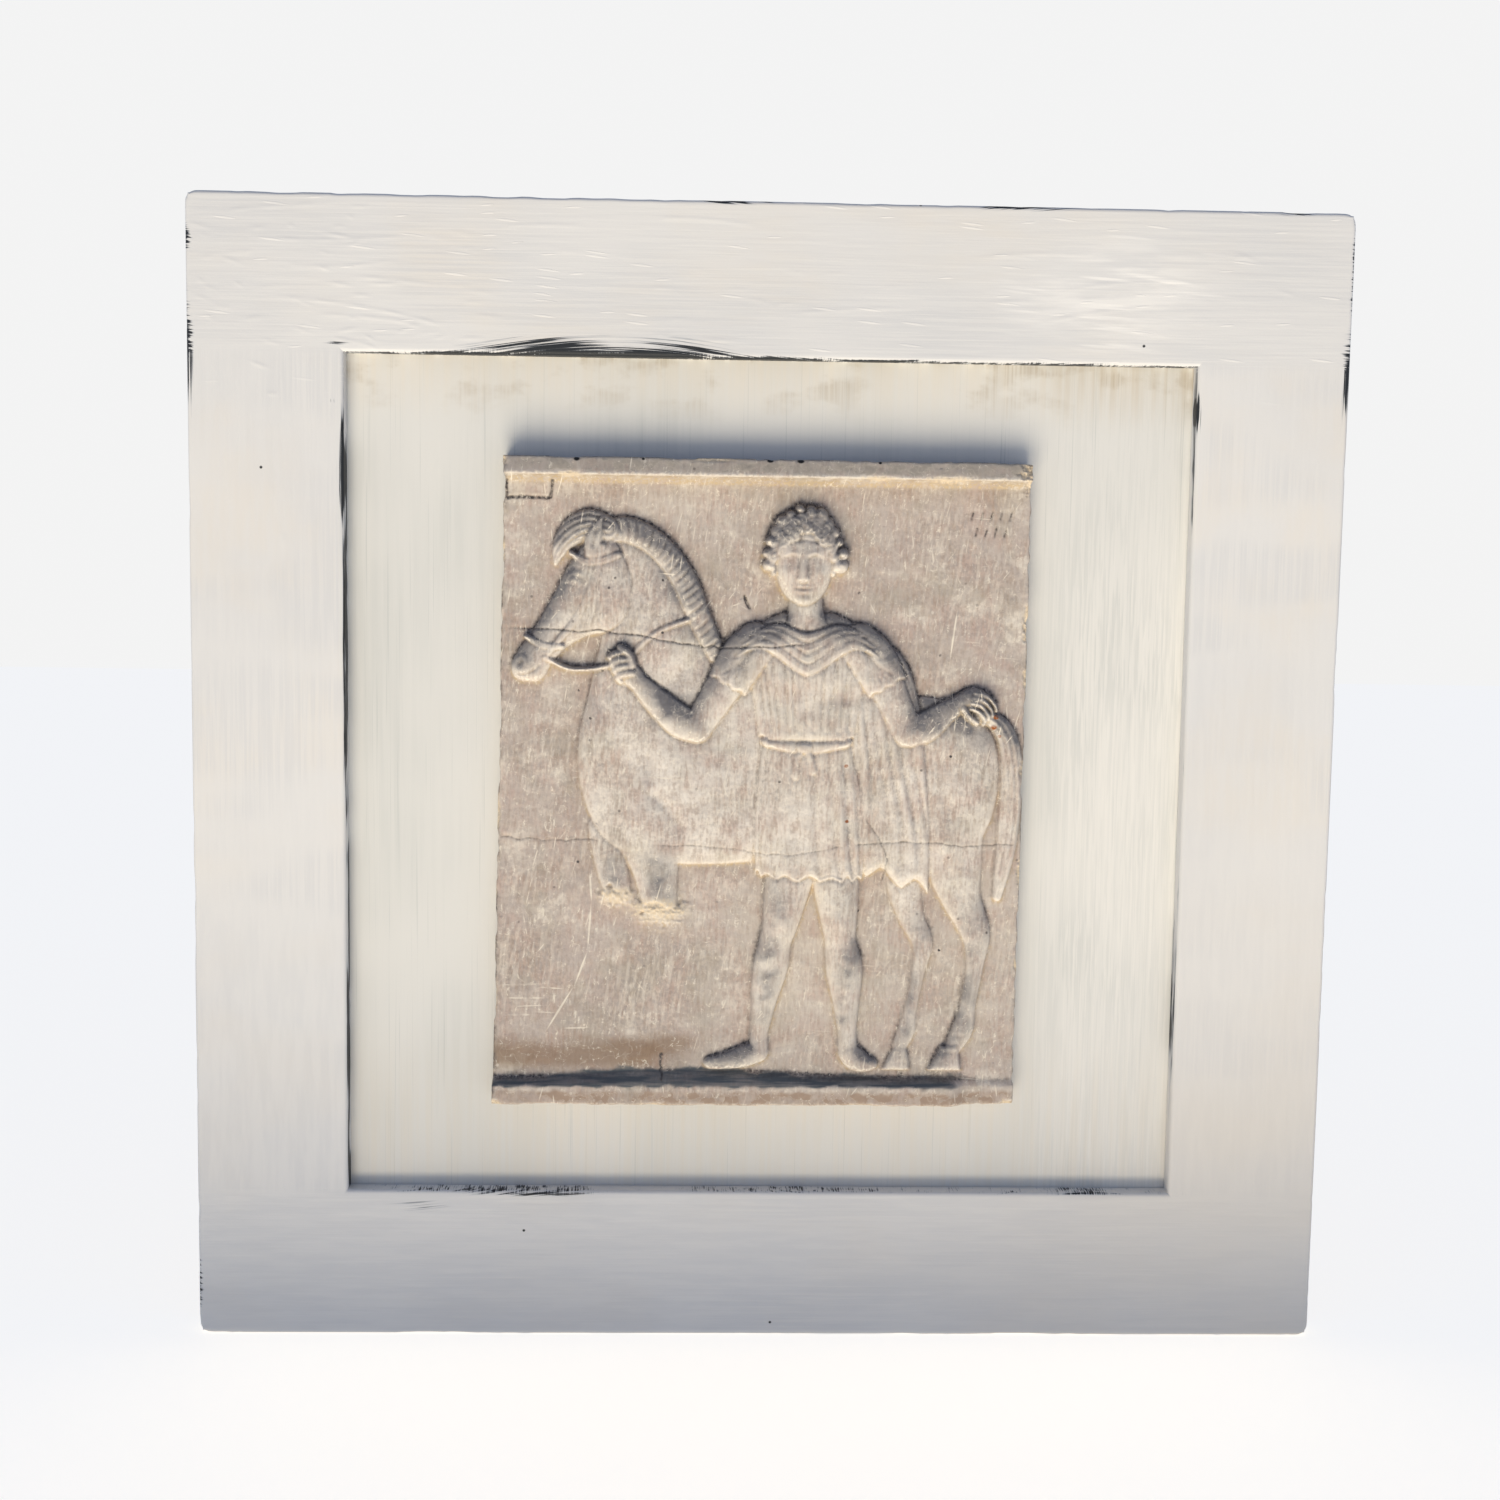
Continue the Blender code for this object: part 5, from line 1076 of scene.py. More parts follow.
def make_cast(settings):
    """The plaster cast, carved on a fine grid and then brought down to fewer triangles."""
    cell = settings.cell / MM
    across = np.linspace(-CAST_HALF, CAST_HALF, int(2 * CAST_HALF / cell) + 1)
    up = np.linspace(CAST_FOOT, CAST_TOP, int((CAST_TOP - CAST_FOOT) / cell) + 1)
    c = Carving(across, up)
    for carve in (carve_horse, carve_horse_head, carve_cloak, carve_legs, carve_tunic, carve_arms,
                  carve_collar, carve_hair, carve_face):
        carve(c)
    c.rise = np.maximum(blurred(c.rise, 0.42 / c.cell), 0)
    c.rise *= settings.rise / MM / c.rise.max()
    c.rise = np.maximum(c.rise, mouldings(c.x, c.z))
    c.rise += 0.12 * waves(c.x, c.z, 9, 60, 40, 31) + 0.05 * waves(c.x, c.z, 2.5, 7, 40, 32) - 0.15
    cut = crack_cast(c)
    chipped = wear_cast(c, settings.arris / MM)
    shares = tone_cast(c, cut, chipped)
    face = CAST_HIGH.y - settings.slab
    front = np.clip(face - c.rise * MM, CAST_LOW.y, None)
    x, z = wavering(c)
    mesh = closed_slab("full_cast", x * MM + CAST_MIDDLE, z * MM + GROUND, front, CAST_HIGH.y)
    piece = in_scene("full_cast", mesh)
    fewer = piece.modifiers.new("Fewer triangles", "DECIMATE")
    fewer.ratio = min(1, settings.triangles / (2 * len(mesh.polygons)))
    lighter = bpy.data.meshes.new_from_object(piece.evaluated_get(bpy.context.evaluated_depsgraph_get()))
    bpy.data.objects.remove(piece)
    lighter.name = "plaster_cast"
    places = points_of(lighter)
    x, z = (places[:, 0] - CAST_MIDDLE) / MM, (places[:, 2] - GROUND) / MM
    x = x - leaning(x, z)
    on_front = places[:, 1] < face + 3 * MM
    put_shares(lighter, {name: sampled(field, across, up, x, z) * on_front for name, field in shares.items()})
    lighter.shade_smooth()
    cast = new_piece("plaster_cast", lighter, toned_plaster(settings))
    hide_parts("plaque")


def edge_waves(along, seed):
    """How far an outer edge is worn in along its run, in metres: 0 and above, by random waves."""
    return 0.4 * MM * np.clip(waves(along / MM, 0, 8, 160, 30, seed) - 0.2, 0, 1.5)


def stroke_ridges(x, z):
    """Height of the ridges that the brush left, as shares from 0 to 1, and where the strokes run across.

    A ridge is a random field stretched 30 to 1 along the stroke. Strokes run across above and below the
    opening, over the joints at the corners too, and upright on the boards beside it.
    """
    across = ramp((np.abs(z) - OPENING_HALF_HEIGHT + 4 * MM) / (8 * MM))
    bend = 2 * np.sin(x / MM / 90 + 1) + 1.5 * np.sin(z / MM / 70)
    loaded = 0.6 + 0.4 * waves(x / MM, z / MM, 60, 160, 12, 43)
    level = waves(x / MM / 30, z / MM + bend, 1.6, 6, 40, 41) * loaded
    upright = waves(x / MM + bend, z / MM / 30, 1.6, 6, 40, 42)
    return np.clip(0.5 + 0.5 * (across * level + (1 - across) * upright), 0, 1), across


def paint_dabs(x, z):
    """Height of the small ridges of thick paint left by the brush on the upper board, in metres.

    Each is a dome, height * e^(-(u / length)^2 - (v / width)^2), and they are strewn at random. The long
    ridges are parabolas from one point to another, with a bell across them.
    """
    random = np.random.default_rng(51)
    dabs = np.zeros(x.shape)
    dab_height, dab_half, ridge_height, ridge_half = 0.34 * MM, 0.75 * MM, 0.24 * MM, 0.8 * MM
    for number, low_x, high_x, low_z, high_z in (
            (46, -0.325, -0.16, 0.247, 0.325), (16, -0.12, 0.32, 0.25, 0.325),
            (10, -0.325, -0.27, 0.05, 0.24)):
        for _ in range(number):
            u, v = x - random.uniform(low_x, high_x), z - random.uniform(low_z, high_z)
            turn, size, thick = (random.uniform(-0.35, 0.25), random.uniform(1.5, 7) * MM,
                                 random.uniform(0.35, 0.9))
            run, aside = u * math.cos(turn) + v * math.sin(turn), v * math.cos(turn) - u * math.sin(turn)
            dabs = np.maximum(dabs, dab_height * thick * bell(run / size) * bell(aside / dab_half))
    for start_x, start_z, end_x, end_z, bend in (
            (-0.313, 0.318, -0.242, 0.324, 1), (-0.298, 0.305, -0.203, 0.307, -2),
            (-0.288, 0.272, -0.176, 0.255, 4), (-0.241, 0.284, -0.184, 0.279, 1),
            (-0.154, 0.313, -0.108, 0.314, 1), (-0.070, 0.319, -0.006, 0.315, 2),
            (-0.250, 0.250, -0.222, 0.244, 1), (-0.324, 0.292, -0.290, 0.297, 1),
            (-0.276, 0.290, -0.214, 0.293, -2), (-0.262, 0.262, -0.200, 0.258, 2),
            (0.010, 0.268, 0.080, 0.272, 1), (0.110, 0.300, 0.180, 0.303, 2),
            (0.140, 0.262, 0.230, 0.276, 3), (0.160, 0.283, 0.235, 0.290, 2)):
        u = (x - start_x) / (end_x - start_x)
        line = start_z + (end_z - start_z) * u + 4 * bend * MM * u * (1 - u)
        ends = ramp(5 * u) * ramp(5 * (1 - u)) * (0.75 + 0.25 * np.sin(x / MM / 3 + bend))
        dabs = np.maximum(dabs, ridge_height * ends * bell((z - line) / ridge_half))
    return dabs


def worn_places(x, z):
    """How far the top coat is worn through, from 0 to 1: soft patches along the edges.

    A patch is e^(-(u / half across)^2 - (v / half up)^2) round its middle, and the brush strokes in the paint
    break it up.
    """
    inner_x, inner_z = OPENING_HALF_WIDTH, OPENING_HALF_HEIGHT
    outer_x, outer_z = FRAME_HALF_WIDTH, FRAME_HALF_HEIGHT
    worn = np.zeros(x.shape)
    for middle_x, middle_z, half_x, half_z, strength in (
            (-0.120, inner_z, 0.042, 0.0092, 0.98), (-0.064, inner_z, 0.042, 0.0082, 0.90),
            (-0.100, inner_z, 0.075, 0.0034, 1.0), (-0.170, inner_z, 0.045, 0.0016, 1.0),
            (-0.005, inner_z, 0.055, 0.0018, 0.95), (-0.215, inner_z, 0.020, 0.0006, 0.7),
            (0.060, inner_z, 0.050, 0.0011, 0.8), (0.168, inner_z, 0.045, 0.0010, 0.8),
            (-inner_x, 0.176, 0.0038, 0.026, 1.0), (-inner_x, 0.070, 0.0010, 0.110, 0.8),
            (-0.150, -inner_z, 0.090, 0.0014, 0.52), (0.030, -inner_z, 0.120, 0.0010, 0.46),
            (0.185, -inner_z, 0.060, 0.0014, 0.50), (-0.130, -inner_z - 0.002, 0.040, 0.0016, 0.72),
            (-outer_x, 0.304, 0.0030, 0.007, 0.85), (-outer_x, 0.240, 0.0034, 0.030, 0.95),
            (outer_x, 0.238, 0.0050, 0.022, 1.0), (outer_x, 0.300, 0.0018, 0.030, 0.7),
            (-0.022, outer_z, 0.020, 0.0018, 0.9), (0.140, outer_z, 0.026, 0.0024, 0.9),
            (0.296, outer_z, 0.012, 0.0024, 0.8), (-inner_x - 0.004, inner_z + 0.005, 0.007, 0.0010, 0.60),
            (-0.249, 0.215, 0.0018, 0.0020, 0.5), (inner_x + 0.0010, 0.217, 0.0018, 0.011, 0.75),
            (-outer_x, -0.300, 0.0024, 0.020, 0.6), (-0.200, -0.252, 0.016, 0.0040, 0.30)):
        patch = bell((x - middle_x) / half_x) * bell((z - middle_z) / half_z)
        worn = np.maximum(worn, strength * patch)
    edge = np.minimum(outer_x - np.abs(x), outer_z - np.abs(z))
    return np.maximum(worn, 0.25 * bell(edge / (0.8 * MM)))


def board_section(settings):
    """Places round a board's section as (across from its outer edge, depth from its back).

    Both front arrises are quarter circles, the front between them is close-set, and the step cut from the
    inner back edge takes the panel.
    """
    radius, step = settings.arris, 0.9 * MM
    turn = np.linspace(0, math.pi / 2, 6)
    eased = BOARD_THICKNESS - radius
    outer = np.stack([radius - radius * np.cos(turn), eased + radius * np.sin(turn)], axis=1)
    inner = outer[::-1] * (-1, 1) + (BOARD_WIDTH, 0)
    front = [(across, BOARD_THICKNESS)
             for across in np.arange(radius + step, BOARD_WIDTH - radius - step / 2, step)]
    seat, groove = PANEL_HIGH.y - PANEL_LOW.y + FIT_GAP, BOARD_WIDTH - settings.rabbet
    side = [(0, depth) for depth in np.linspace(0, eased, 7)[:-1]]
    wall = [(BOARD_WIDTH, depth) for depth in np.linspace(eased, seat, 5)[1:]]
    return np.vstack([side, outer, front, inner, wall, [(groove, seat), (groove, 0)]])


def board_mesh(name, settings, turn, inner_wear, seed):
    """One board: its section carried along its run and sheared at both ends to a mitre.

    At the share s of the run from -1 to 1 and the distance a from the outer edge, the place along the run is
    s (half run - a). The board is then turned round the middle of the frame.
    """
    section = board_section(settings)
    half_run, half_reach = FRAME_HALF_WIDTH, FRAME_HALF_HEIGHT
    if turn % 180:
        half_run, half_reach = half_reach, half_run
    fine, coarse = 1.0 * MM, 4.0 * MM
    from_end = np.concatenate([np.arange(0, BOARD_WIDTH, fine), np.arange(BOARD_WIDTH, half_run, coarse)])
    share = np.concatenate([from_end / half_run - 1, [0], (1 - from_end / half_run)[::-1]])
    across, depth = section[:, 0][None, :], section[:, 1][None, :]
    rounded, worn_off, from_corner = np.clip(1 - across / (3 * MM), 0, 1), 1.5 * MM, 3.5 * MM
    softened = worn_off * rounded * bell((1 - np.abs(share[:, None])) * half_run / from_corner)
    run = share[:, None] * (half_run - across - softened)
    out = half_reach - across - softened - rounded * edge_waves(run, seed)
    angle = math.radians(turn)
    x = run * math.cos(angle) - out * math.sin(angle)
    z = -run * math.sin(angle) - out * math.cos(angle)
    ridges, level = stroke_ridges(x, z)
    facing = np.clip((depth - BOARD_THICKNESS + settings.arris) / settings.arris, 0, 1)
    y = -(depth + facing * (settings.ridge * (ridges - 1) + paint_dabs(x, z)))
    index = np.arange(x.size).reshape(x.shape)
    after = np.roll(index, -1, axis=1)
    quads = np.stack([index[:-1], after[:-1], after[1:], index[1:]], axis=-1).reshape(-1, 4)
    mesh = new_mesh(name, np.stack([x, y, z], axis=-1).reshape(-1, 3),
                    quads.tolist() + [index[0, ::-1].tolist(), index[-1].tolist()])
    front = ramp((depth - 6 * MM) / (4 * MM))
    inner_side = ramp((across - BOARD_WIDTH + 0.5 * MM) / (0.4 * MM)) * inner_wear
    worn = np.maximum(worn_places(x, z) * front, inner_side)
    put_shares(mesh, {"worn": worn.ravel(), "level": level.ravel()})
    mesh.shade_smooth()
    mesh.set_sharp_from_angle(angle=math.radians(40))
    return mesh


def make_frame(settings):
    """The four painted boards round the panel."""
    paint = worn_chalk_paint(settings)
    inner_wear = {"bottom": 0.12, "left": 0.50, "top": 0.6, "right": 0.30}
    for number, (side, wear) in enumerate(inner_wear.items()):
        mesh = board_mesh("board_" + side, settings, 90 * number, wear, 61 + number)
        board = new_piece("board_" + side, mesh, paint)
        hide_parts("frame_" + side)


def add(tree, kind, inputs=None, **settings):
    """Adds a node with its settings. inputs gives each socket, by name or number, a value or what feeds it: a
    socket, or a node for its first output."""
    node = tree.nodes.new(kind)
    for name, value in settings.items():
        setattr(node, name, value)
    for socket, value in (inputs or {}).items():
        if isinstance(value, bpy.types.Node):
            value = value.outputs[0]
        if isinstance(value, bpy.types.NodeSocket):
            tree.links.new(value, node.inputs[socket])
        else:
            node.inputs[socket].default_value = value
    return node


def new_material(name, roughness, specular):
    """A material with its node tree, its shader and the Object coordinates that its patterns read."""
    material = bpy.data.materials.new(name)
    material.use_nodes = True
    tree = material.node_tree
    shader = tree.nodes["Principled BSDF"]
    shader.inputs["Roughness"].default_value = roughness
    shader.inputs["Specular IOR Level"].default_value = specular
    return material, tree, shader, add(tree, "ShaderNodeTexCoord").outputs["Object"]


def rising(tree, value, low, high, most=1.0):
    """A share that rises softly from 0 to the most where the value goes from low to high."""
    return add(tree, "ShaderNodeMapRange", {0: value, 1: low, 2: high, 4: most},
               interpolation_type="SMOOTHSTEP")


def grain(tree, place, size, low, high, most=1.0, detail=2.0, turn=0.0):
    """Random grain as a share: noise in cells of size (x, y, z) millimetres, turned in the plane of the work
    by some degrees, that rises from 0 to the most between the values low and high."""
    cells = add(tree, "ShaderNodeMapping", {"Vector": place, "Rotation": (0, math.radians(turn), 0),
                                            "Scale": [part * MM for part in size]}, vector_type="TEXTURE")
    noise = add(tree, "ShaderNodeTexNoise", {"Vector": cells, "Scale": 1.0, "Detail": detail})
    return rising(tree, noise, low, high, most)


def broken_up(tree, strength, pattern, low, high, most=1.0):
    """A share that a pattern breaks up: it rises to the most where strength plus pattern goes from low to
    high."""
    return rising(tree, add(tree, "ShaderNodeMath", {0: strength, 1: pattern}), low, high, most)


def patchy(tree, strength, pattern, spread, most=1.0):
    """The strength made uneven: strength * most * (1 - spread + 2 spread pattern), at most 1."""
    uneven = add(tree, "ShaderNodeMapRange", {0: pattern, 3: most * (1 - spread), 4: most * (1 + spread)})
    return add(tree, "ShaderNodeMath", {0: strength, 1: uneven}, operation="MULTIPLY", use_clamp=True)


def contour_lines(tree, pattern, half):
    """Fine crooked lines as a share: where the pattern lies within half of one half."""
    off = add(tree, "ShaderNodeMath", {0: pattern, 1: 0.5}, operation="SUBTRACT")
    away = add(tree, "ShaderNodeMath", {0: off}, operation="ABSOLUTE")
    return add(tree, "ShaderNodeMapRange", {0: away, 1: half, 2: 0.3 * half})


def product(tree, *shares, operation="MULTIPLY"):
    """The shares multiplied, or taken together by another operation, one after the other."""
    whole = shares[0]
    for share in shares[1:]:
        whole = add(tree, "ShaderNodeMath", {0: whole, 1: share}, operation=operation)
    return whole


def most_of(tree, *shares):
    """The largest of the shares."""
    return product(tree, *shares, operation="MAXIMUM")


def strewn(tree, place, size, part, turn=0.0):
    """Marks strewn at random as a share: of cells of size (x, z) millimetres, turned by some degrees, a part
    holds a mark that is half as long and wide as its cell. They run straight back into the material."""
    cells = add(tree, "ShaderNodeMapping", {"Vector": place, "Rotation": (math.pi / 2, math.radians(turn), 0),
                                            "Scale": (size[0] * MM, size[1] * MM, 1)}, vector_type="TEXTURE")
    spots = add(tree, "ShaderNodeTexVoronoi", {"Vector": cells, "Scale": 1.0},
                voronoi_dimensions="2D")
    drawn = add(tree, "ShaderNodeSeparateColor", {0: spots.outputs["Color"]})
    picked = add(tree, "ShaderNodeMath", {0: drawn, 1: 1 - part}, operation="GREATER_THAN")
    return product(tree, picked, rising(tree, spots.outputs["Distance"], 0.32, 0.14))


def marks(tree, place, rows, soft=0.5):
    """Placed marks as a share: spindles (x, z, half length, half width, turn in degrees), in millimetres from
    the ground line at the cast's middle. Each fades from its middle line outwards."""
    spindles = []
    for x, z, half_length, half_width, turn in rows:
        at = add(tree, "ShaderNodeMapping", {
            "Vector": place, "Location": (CAST_MIDDLE + x * MM, CAST_LOW.y, GROUND + z * MM),
            "Rotation": (0, -math.radians(turn), 0),
            "Scale": (half_length * MM, 0.1, half_width * MM)}, vector_type="TEXTURE")
        spindles.append(add(tree, "ShaderNodeTexGradient", {0: at},
                            gradient_type="SPHERICAL").outputs[1])
    return rising(tree, most_of(tree, *spindles), 0.0, soft)


def toned(tree, ground, *layers):
    """Lays each tone over those before it, and gives the colour. A tone is its colour and its share, or its
    colour and what patchy makes the share from."""
    for tone, *share in layers:
        cover = patchy(tree, *share) if len(share) > 1 else share[0]
        ground = add(tree, "ShaderNodeMix", {0: cover, 6: ground, 7: tone}, data_type="RGBA").outputs[2]
    return ground


def relief(tree, shader, *heights):
    """Feeds the shader's normal from heights (share, depth in millimetres)."""
    below = {}
    for share, depth in heights:
        bump = add(tree, "ShaderNodeBump",
                   {"Strength": 1.0, "Distance": depth * MM, "Height": share, **below})
        below = {"Normal": bump}
    tree.links.new(bump.outputs[0], shader.inputs["Normal"])


def scratch_marks(tree, place, clean, mottle):
    """Scratches as three shares: fine ones strewn where it is clean, long crooked ones, and short listed
    ones, both broken up by the mottle."""
    fine_scratches = most_of(tree, *[strewn(tree, place, (long, 1.5), part, turn) for long, part, turn in (
        (17, 0.013, -82), (26, 0.010, -74), (13, 0.010, -97), (22, 0.004, 4), (12, 0.006, -52))])
    scratches = product(tree, fine_scratches, clean, grain(tree, place, (70, 40, 60), 0.35, 0.62, 0.8))
    crooked = patchy(tree, marks(tree, place, [
        (-98.3, 107, 10, 0.8, 94), (-98.9, 84, 16, 0.8, 86), (-103.7, 59, 12, 0.8, 70),
        (-116, 35, 18, 0.8, 59), (109, 256, 17, 0.7, 83)]), mottle, 0.2, 0.95)
    placed = patchy(tree, marks(tree, place, [
        (-136, 84, 9, 0.5, 100), (-134, 104, 9, 0.5, 78), (-92, 98, 8, 0.5, 77),
        (-60, 172, 13, 0.6, -4), (-96, 160, 9, 0.5, 8), (72, 60, 9, 0.5, 50), (-15, 272, 5, 0.6, 20),
        (-9, 276, 4.5, 0.6, 68), (-12, 270, 4, 0.5, -30), (96, 300, 5, 0.5, 95), (138, 300, 6, 0.5, 80),
        (-139, 49.5, 13, 0.7, 2), (-121, 47.5, 9, 0.5, -3), (-136, 41.5, 15, 0.7, 0),
        (-140, 31.5, 12, 0.8, 1), (-122, 33, 13, 0.5, -2), (-106, 24, 9, 0.6, 2), (-128, 37, 20, 0.4, 2),
        (-70, 50, 7, 0.5, -50), (-18, 150, 7, 0.5, 60)]), mottle, 0.8, 0.5)
    return scratches, crooked, placed


def toned_plaster(settings):
    """Casting plaster, poured in a mould, then washed with tone and rubbed back.

    The eye gets a matt, chalky ground that is never one even colour: dirt-dark hollows with painted shade
    along the upper outlines, a cool grey on the upper sides of the forms that is mostly painted shade,
    painted light on the lower outlines and edges, and cream plaster wherever it is rubbed, chipped or
    scratched.
    """
    material, tree, shader, place = new_material("Toned casting plaster", roughness=0.85, specular=0.25)
    share = {name: add(tree, "ShaderNodeAttribute", attribute_name=name).outputs["Fac"]
             for name in ("outline_dirt_and_shade", "wash", "rubbed", "crumbled", "ledge", "fillet", "worn_and_lit_lip", "stain",
                          "figures", "shade_near_figures", "lit_lower_outline", "foot", "bare", "front")}
    # Plaster's own grain of a few tenths of a millimetre is too fine to show, so the speck is drawn at 1.7 mm
    cloud = grain(tree, place, (46, 46, 34), 0.38, 0.66, detail=3)
    mottle = grain(tree, place, (8, 8, 6), 0.38, 0.64, detail=4)
    speck = grain(tree, place, (1.7, 1.7, 2.0), 0.36, 0.64, detail=3)
    streak = grain(tree, place, (1.7, 7, 9), 0.40, 0.66, detail=3)
    level_streak = grain(tree, place, (24, 9, 1.8), 0.36, 0.66, detail=3)
    dust = grain(tree, place, (1.5, 6, 5.5), 0.52, 0.68, detail=3, turn=8)
    rubs = grain(tree, place, (2.6, 9, 15), 0.48, 0.68, detail=3, turn=8)
    blush = grain(tree, place, (22, 22, 17), 0.42, 0.64, detail=3)
    smudge = grain(tree, place, (24, 24, 32), 0.44, 0.66, detail=3)
    pale_patch = grain(tree, place, (26, 26, 18), 0.50, 0.66, detail=3)
    pits = strewn(tree, place, (3.4, 3.4), 0.004)
    crumbs = strewn(tree, place, (3.6, 4.2), 0.04)
    clean = add(tree, "ShaderNodeMath", {0: share["front"], 1: share["ledge"]}, operation="SUBTRACT",
                use_clamp=True)
    scratches, crooked, placed = scratch_marks(tree, place, clean, mottle)
    rust = marks(tree, place, [(134, 209, 1.9, 1.6, 0), (133, 203, 2.2, 1.8, 0), (136.5, 198, 1.2, 1.2, 0),
                               (48, 180, 1.6, 1.3, 0), (49, 148, 1.5, 1.2, 0)])
    soot = marks(tree, place, [(-107.5, 352.5, 2.2, 1.5, 0), (1.7, 353, 2.4, 1.4, 0), (19, 353, 2.6, 1.5, 0),
                               (-70, 353, 1.2, 0.9, 0), (64, 352.8, 1.3, 0.9, 0)])
    curls = most_of(tree, contour_lines(tree, mottle, 0.10), contour_lines(tree, smudge, 0.05))
    beside = add(tree, "ShaderNodeMapRange", {0: share["front"], 1: 0.95, 2: 0.80})
    side_tone = toned(tree, settings.field, (settings.brown, cloud, mottle, 0.4, 0.4),
                      (settings.grey, speck, mottle, 0.4, 0.3))
    tone = toned(
        tree, settings.field,
        (settings.figures, share["figures"], mottle, 0.25, 0.85),
        (settings.brown, cloud, streak, 0.35, 0.35),
        (settings.moss, smudge, streak, 0.3, 0.36),
        (settings.cream, pale_patch, mottle, 0.6, 0.42),
        (settings.cream, share["bare"], speck, 0.4, 0.5),
        (settings.blush, blush, streak, 0.4, 0.40),
        (settings.grey, speck, cloud, 0.4, 0.24),
        (settings.brown, streak, speck, 0.6, 0.26),
        (settings.cream, dust, mottle, 0.7, 0.22),
        (settings.cream, rubs, cloud, 0.7, 0.24),
        # Painted shade round the figures
        (settings.brown, share["shade_near_figures"], cloud, 0.5, 0.25),
        (settings.stain, share["stain"], cloud, 0.15, 0.80),
        (settings.brown, share["foot"], mottle, 0.6, 0.75),
        # Painted shade on the upper sides of the figures, with its darkest core in the next layer
        (settings.grey, share["wash"], mottle, 0.22, 0.95),
        (settings.dark, product(tree, share["wash"], share["wash"]), speck, 0.5, 0.22),
        # Grey on the fillet's face, partly painted shade, with darker mottles in the next layer
        (settings.fillet, share["fillet"], mottle, 0.5, 0.85),
        (settings.dark, product(tree, share["fillet"], mottle), speck, 0.6, 0.10),
        # Painted light on the lower outlines
        (settings.lit_lower_outline, share["lit_lower_outline"], speck, 0.7, 0.55),
        # Rubbed plaster on the high points, and a painted highlight on the lower-facing sides
        (settings.cream, share["rubbed"], speck, 0.8, 0.65),
        # Worn plaster along the fillet's lower edge and the ledge's arris, with a painted highlight on the
        # fillet's edge
        (settings.cream, share["worn_and_lit_lip"], mottle, 0.6, 0.6),
        # Dirt and painted shade on the ledge's up-facing slope
        (settings.ledge, share["ledge"], level_streak, 0.22, 0.86),
        # Dirt in the hollows and cracks, with painted shade along the upper outlines
        (settings.dark, share["outline_dirt_and_shade"], speck, 0.3, 0.8),
        (settings.cream, product(tree, crumbs, clean), pale_patch, 0.9, 0.30),
        (settings.bare, share["crumbled"], speck, 0.4, 0.85),
        (settings.dark, product(tree, pits, clean), cloud, 0.8, 0.6),
        (settings.scratch, product(tree, curls, clean), dust, 0.7, 0.45),
        (settings.scratch, scratches),
        (settings.scratch, product(tree, most_of(tree, crooked, placed), clean)),
        (settings.rust, rust, speck, 0.5, 0.8),
        (settings.soot, soot),
        (side_tone, beside))
    tree.links.new(tone, shader.inputs["Base Color"])
    relief(tree, shader, (speck, 0.03), (mottle, 0.06))
    return material


def unpainted(tree, place):
    """The share of the flat back, which was left bare."""
    depth = add(tree, "ShaderNodeSeparateXYZ", {0: place}).outputs["Y"]
    return add(tree, "ShaderNodeMapRange", {0: depth, 1: -0.5 * MM, 2: -0.1 * MM})


def brush_strokes(tree, place, level, *sizes):
    """Streaks of brushed paint as shares: for each size (length, width, low, high), grain that is stretched
    along the stroke, which runs level or upright."""
    coats = []
    for long, thin, low, high in sizes:
        across = grain(tree, place, (long, 12, thin), low, high, detail=3)
        upright = grain(tree, place, (thin, 12, long), low, high, detail=3)
        coats.append(add(tree, "ShaderNodeMix", {0: level, 2: upright, 3: across}))
    return coats


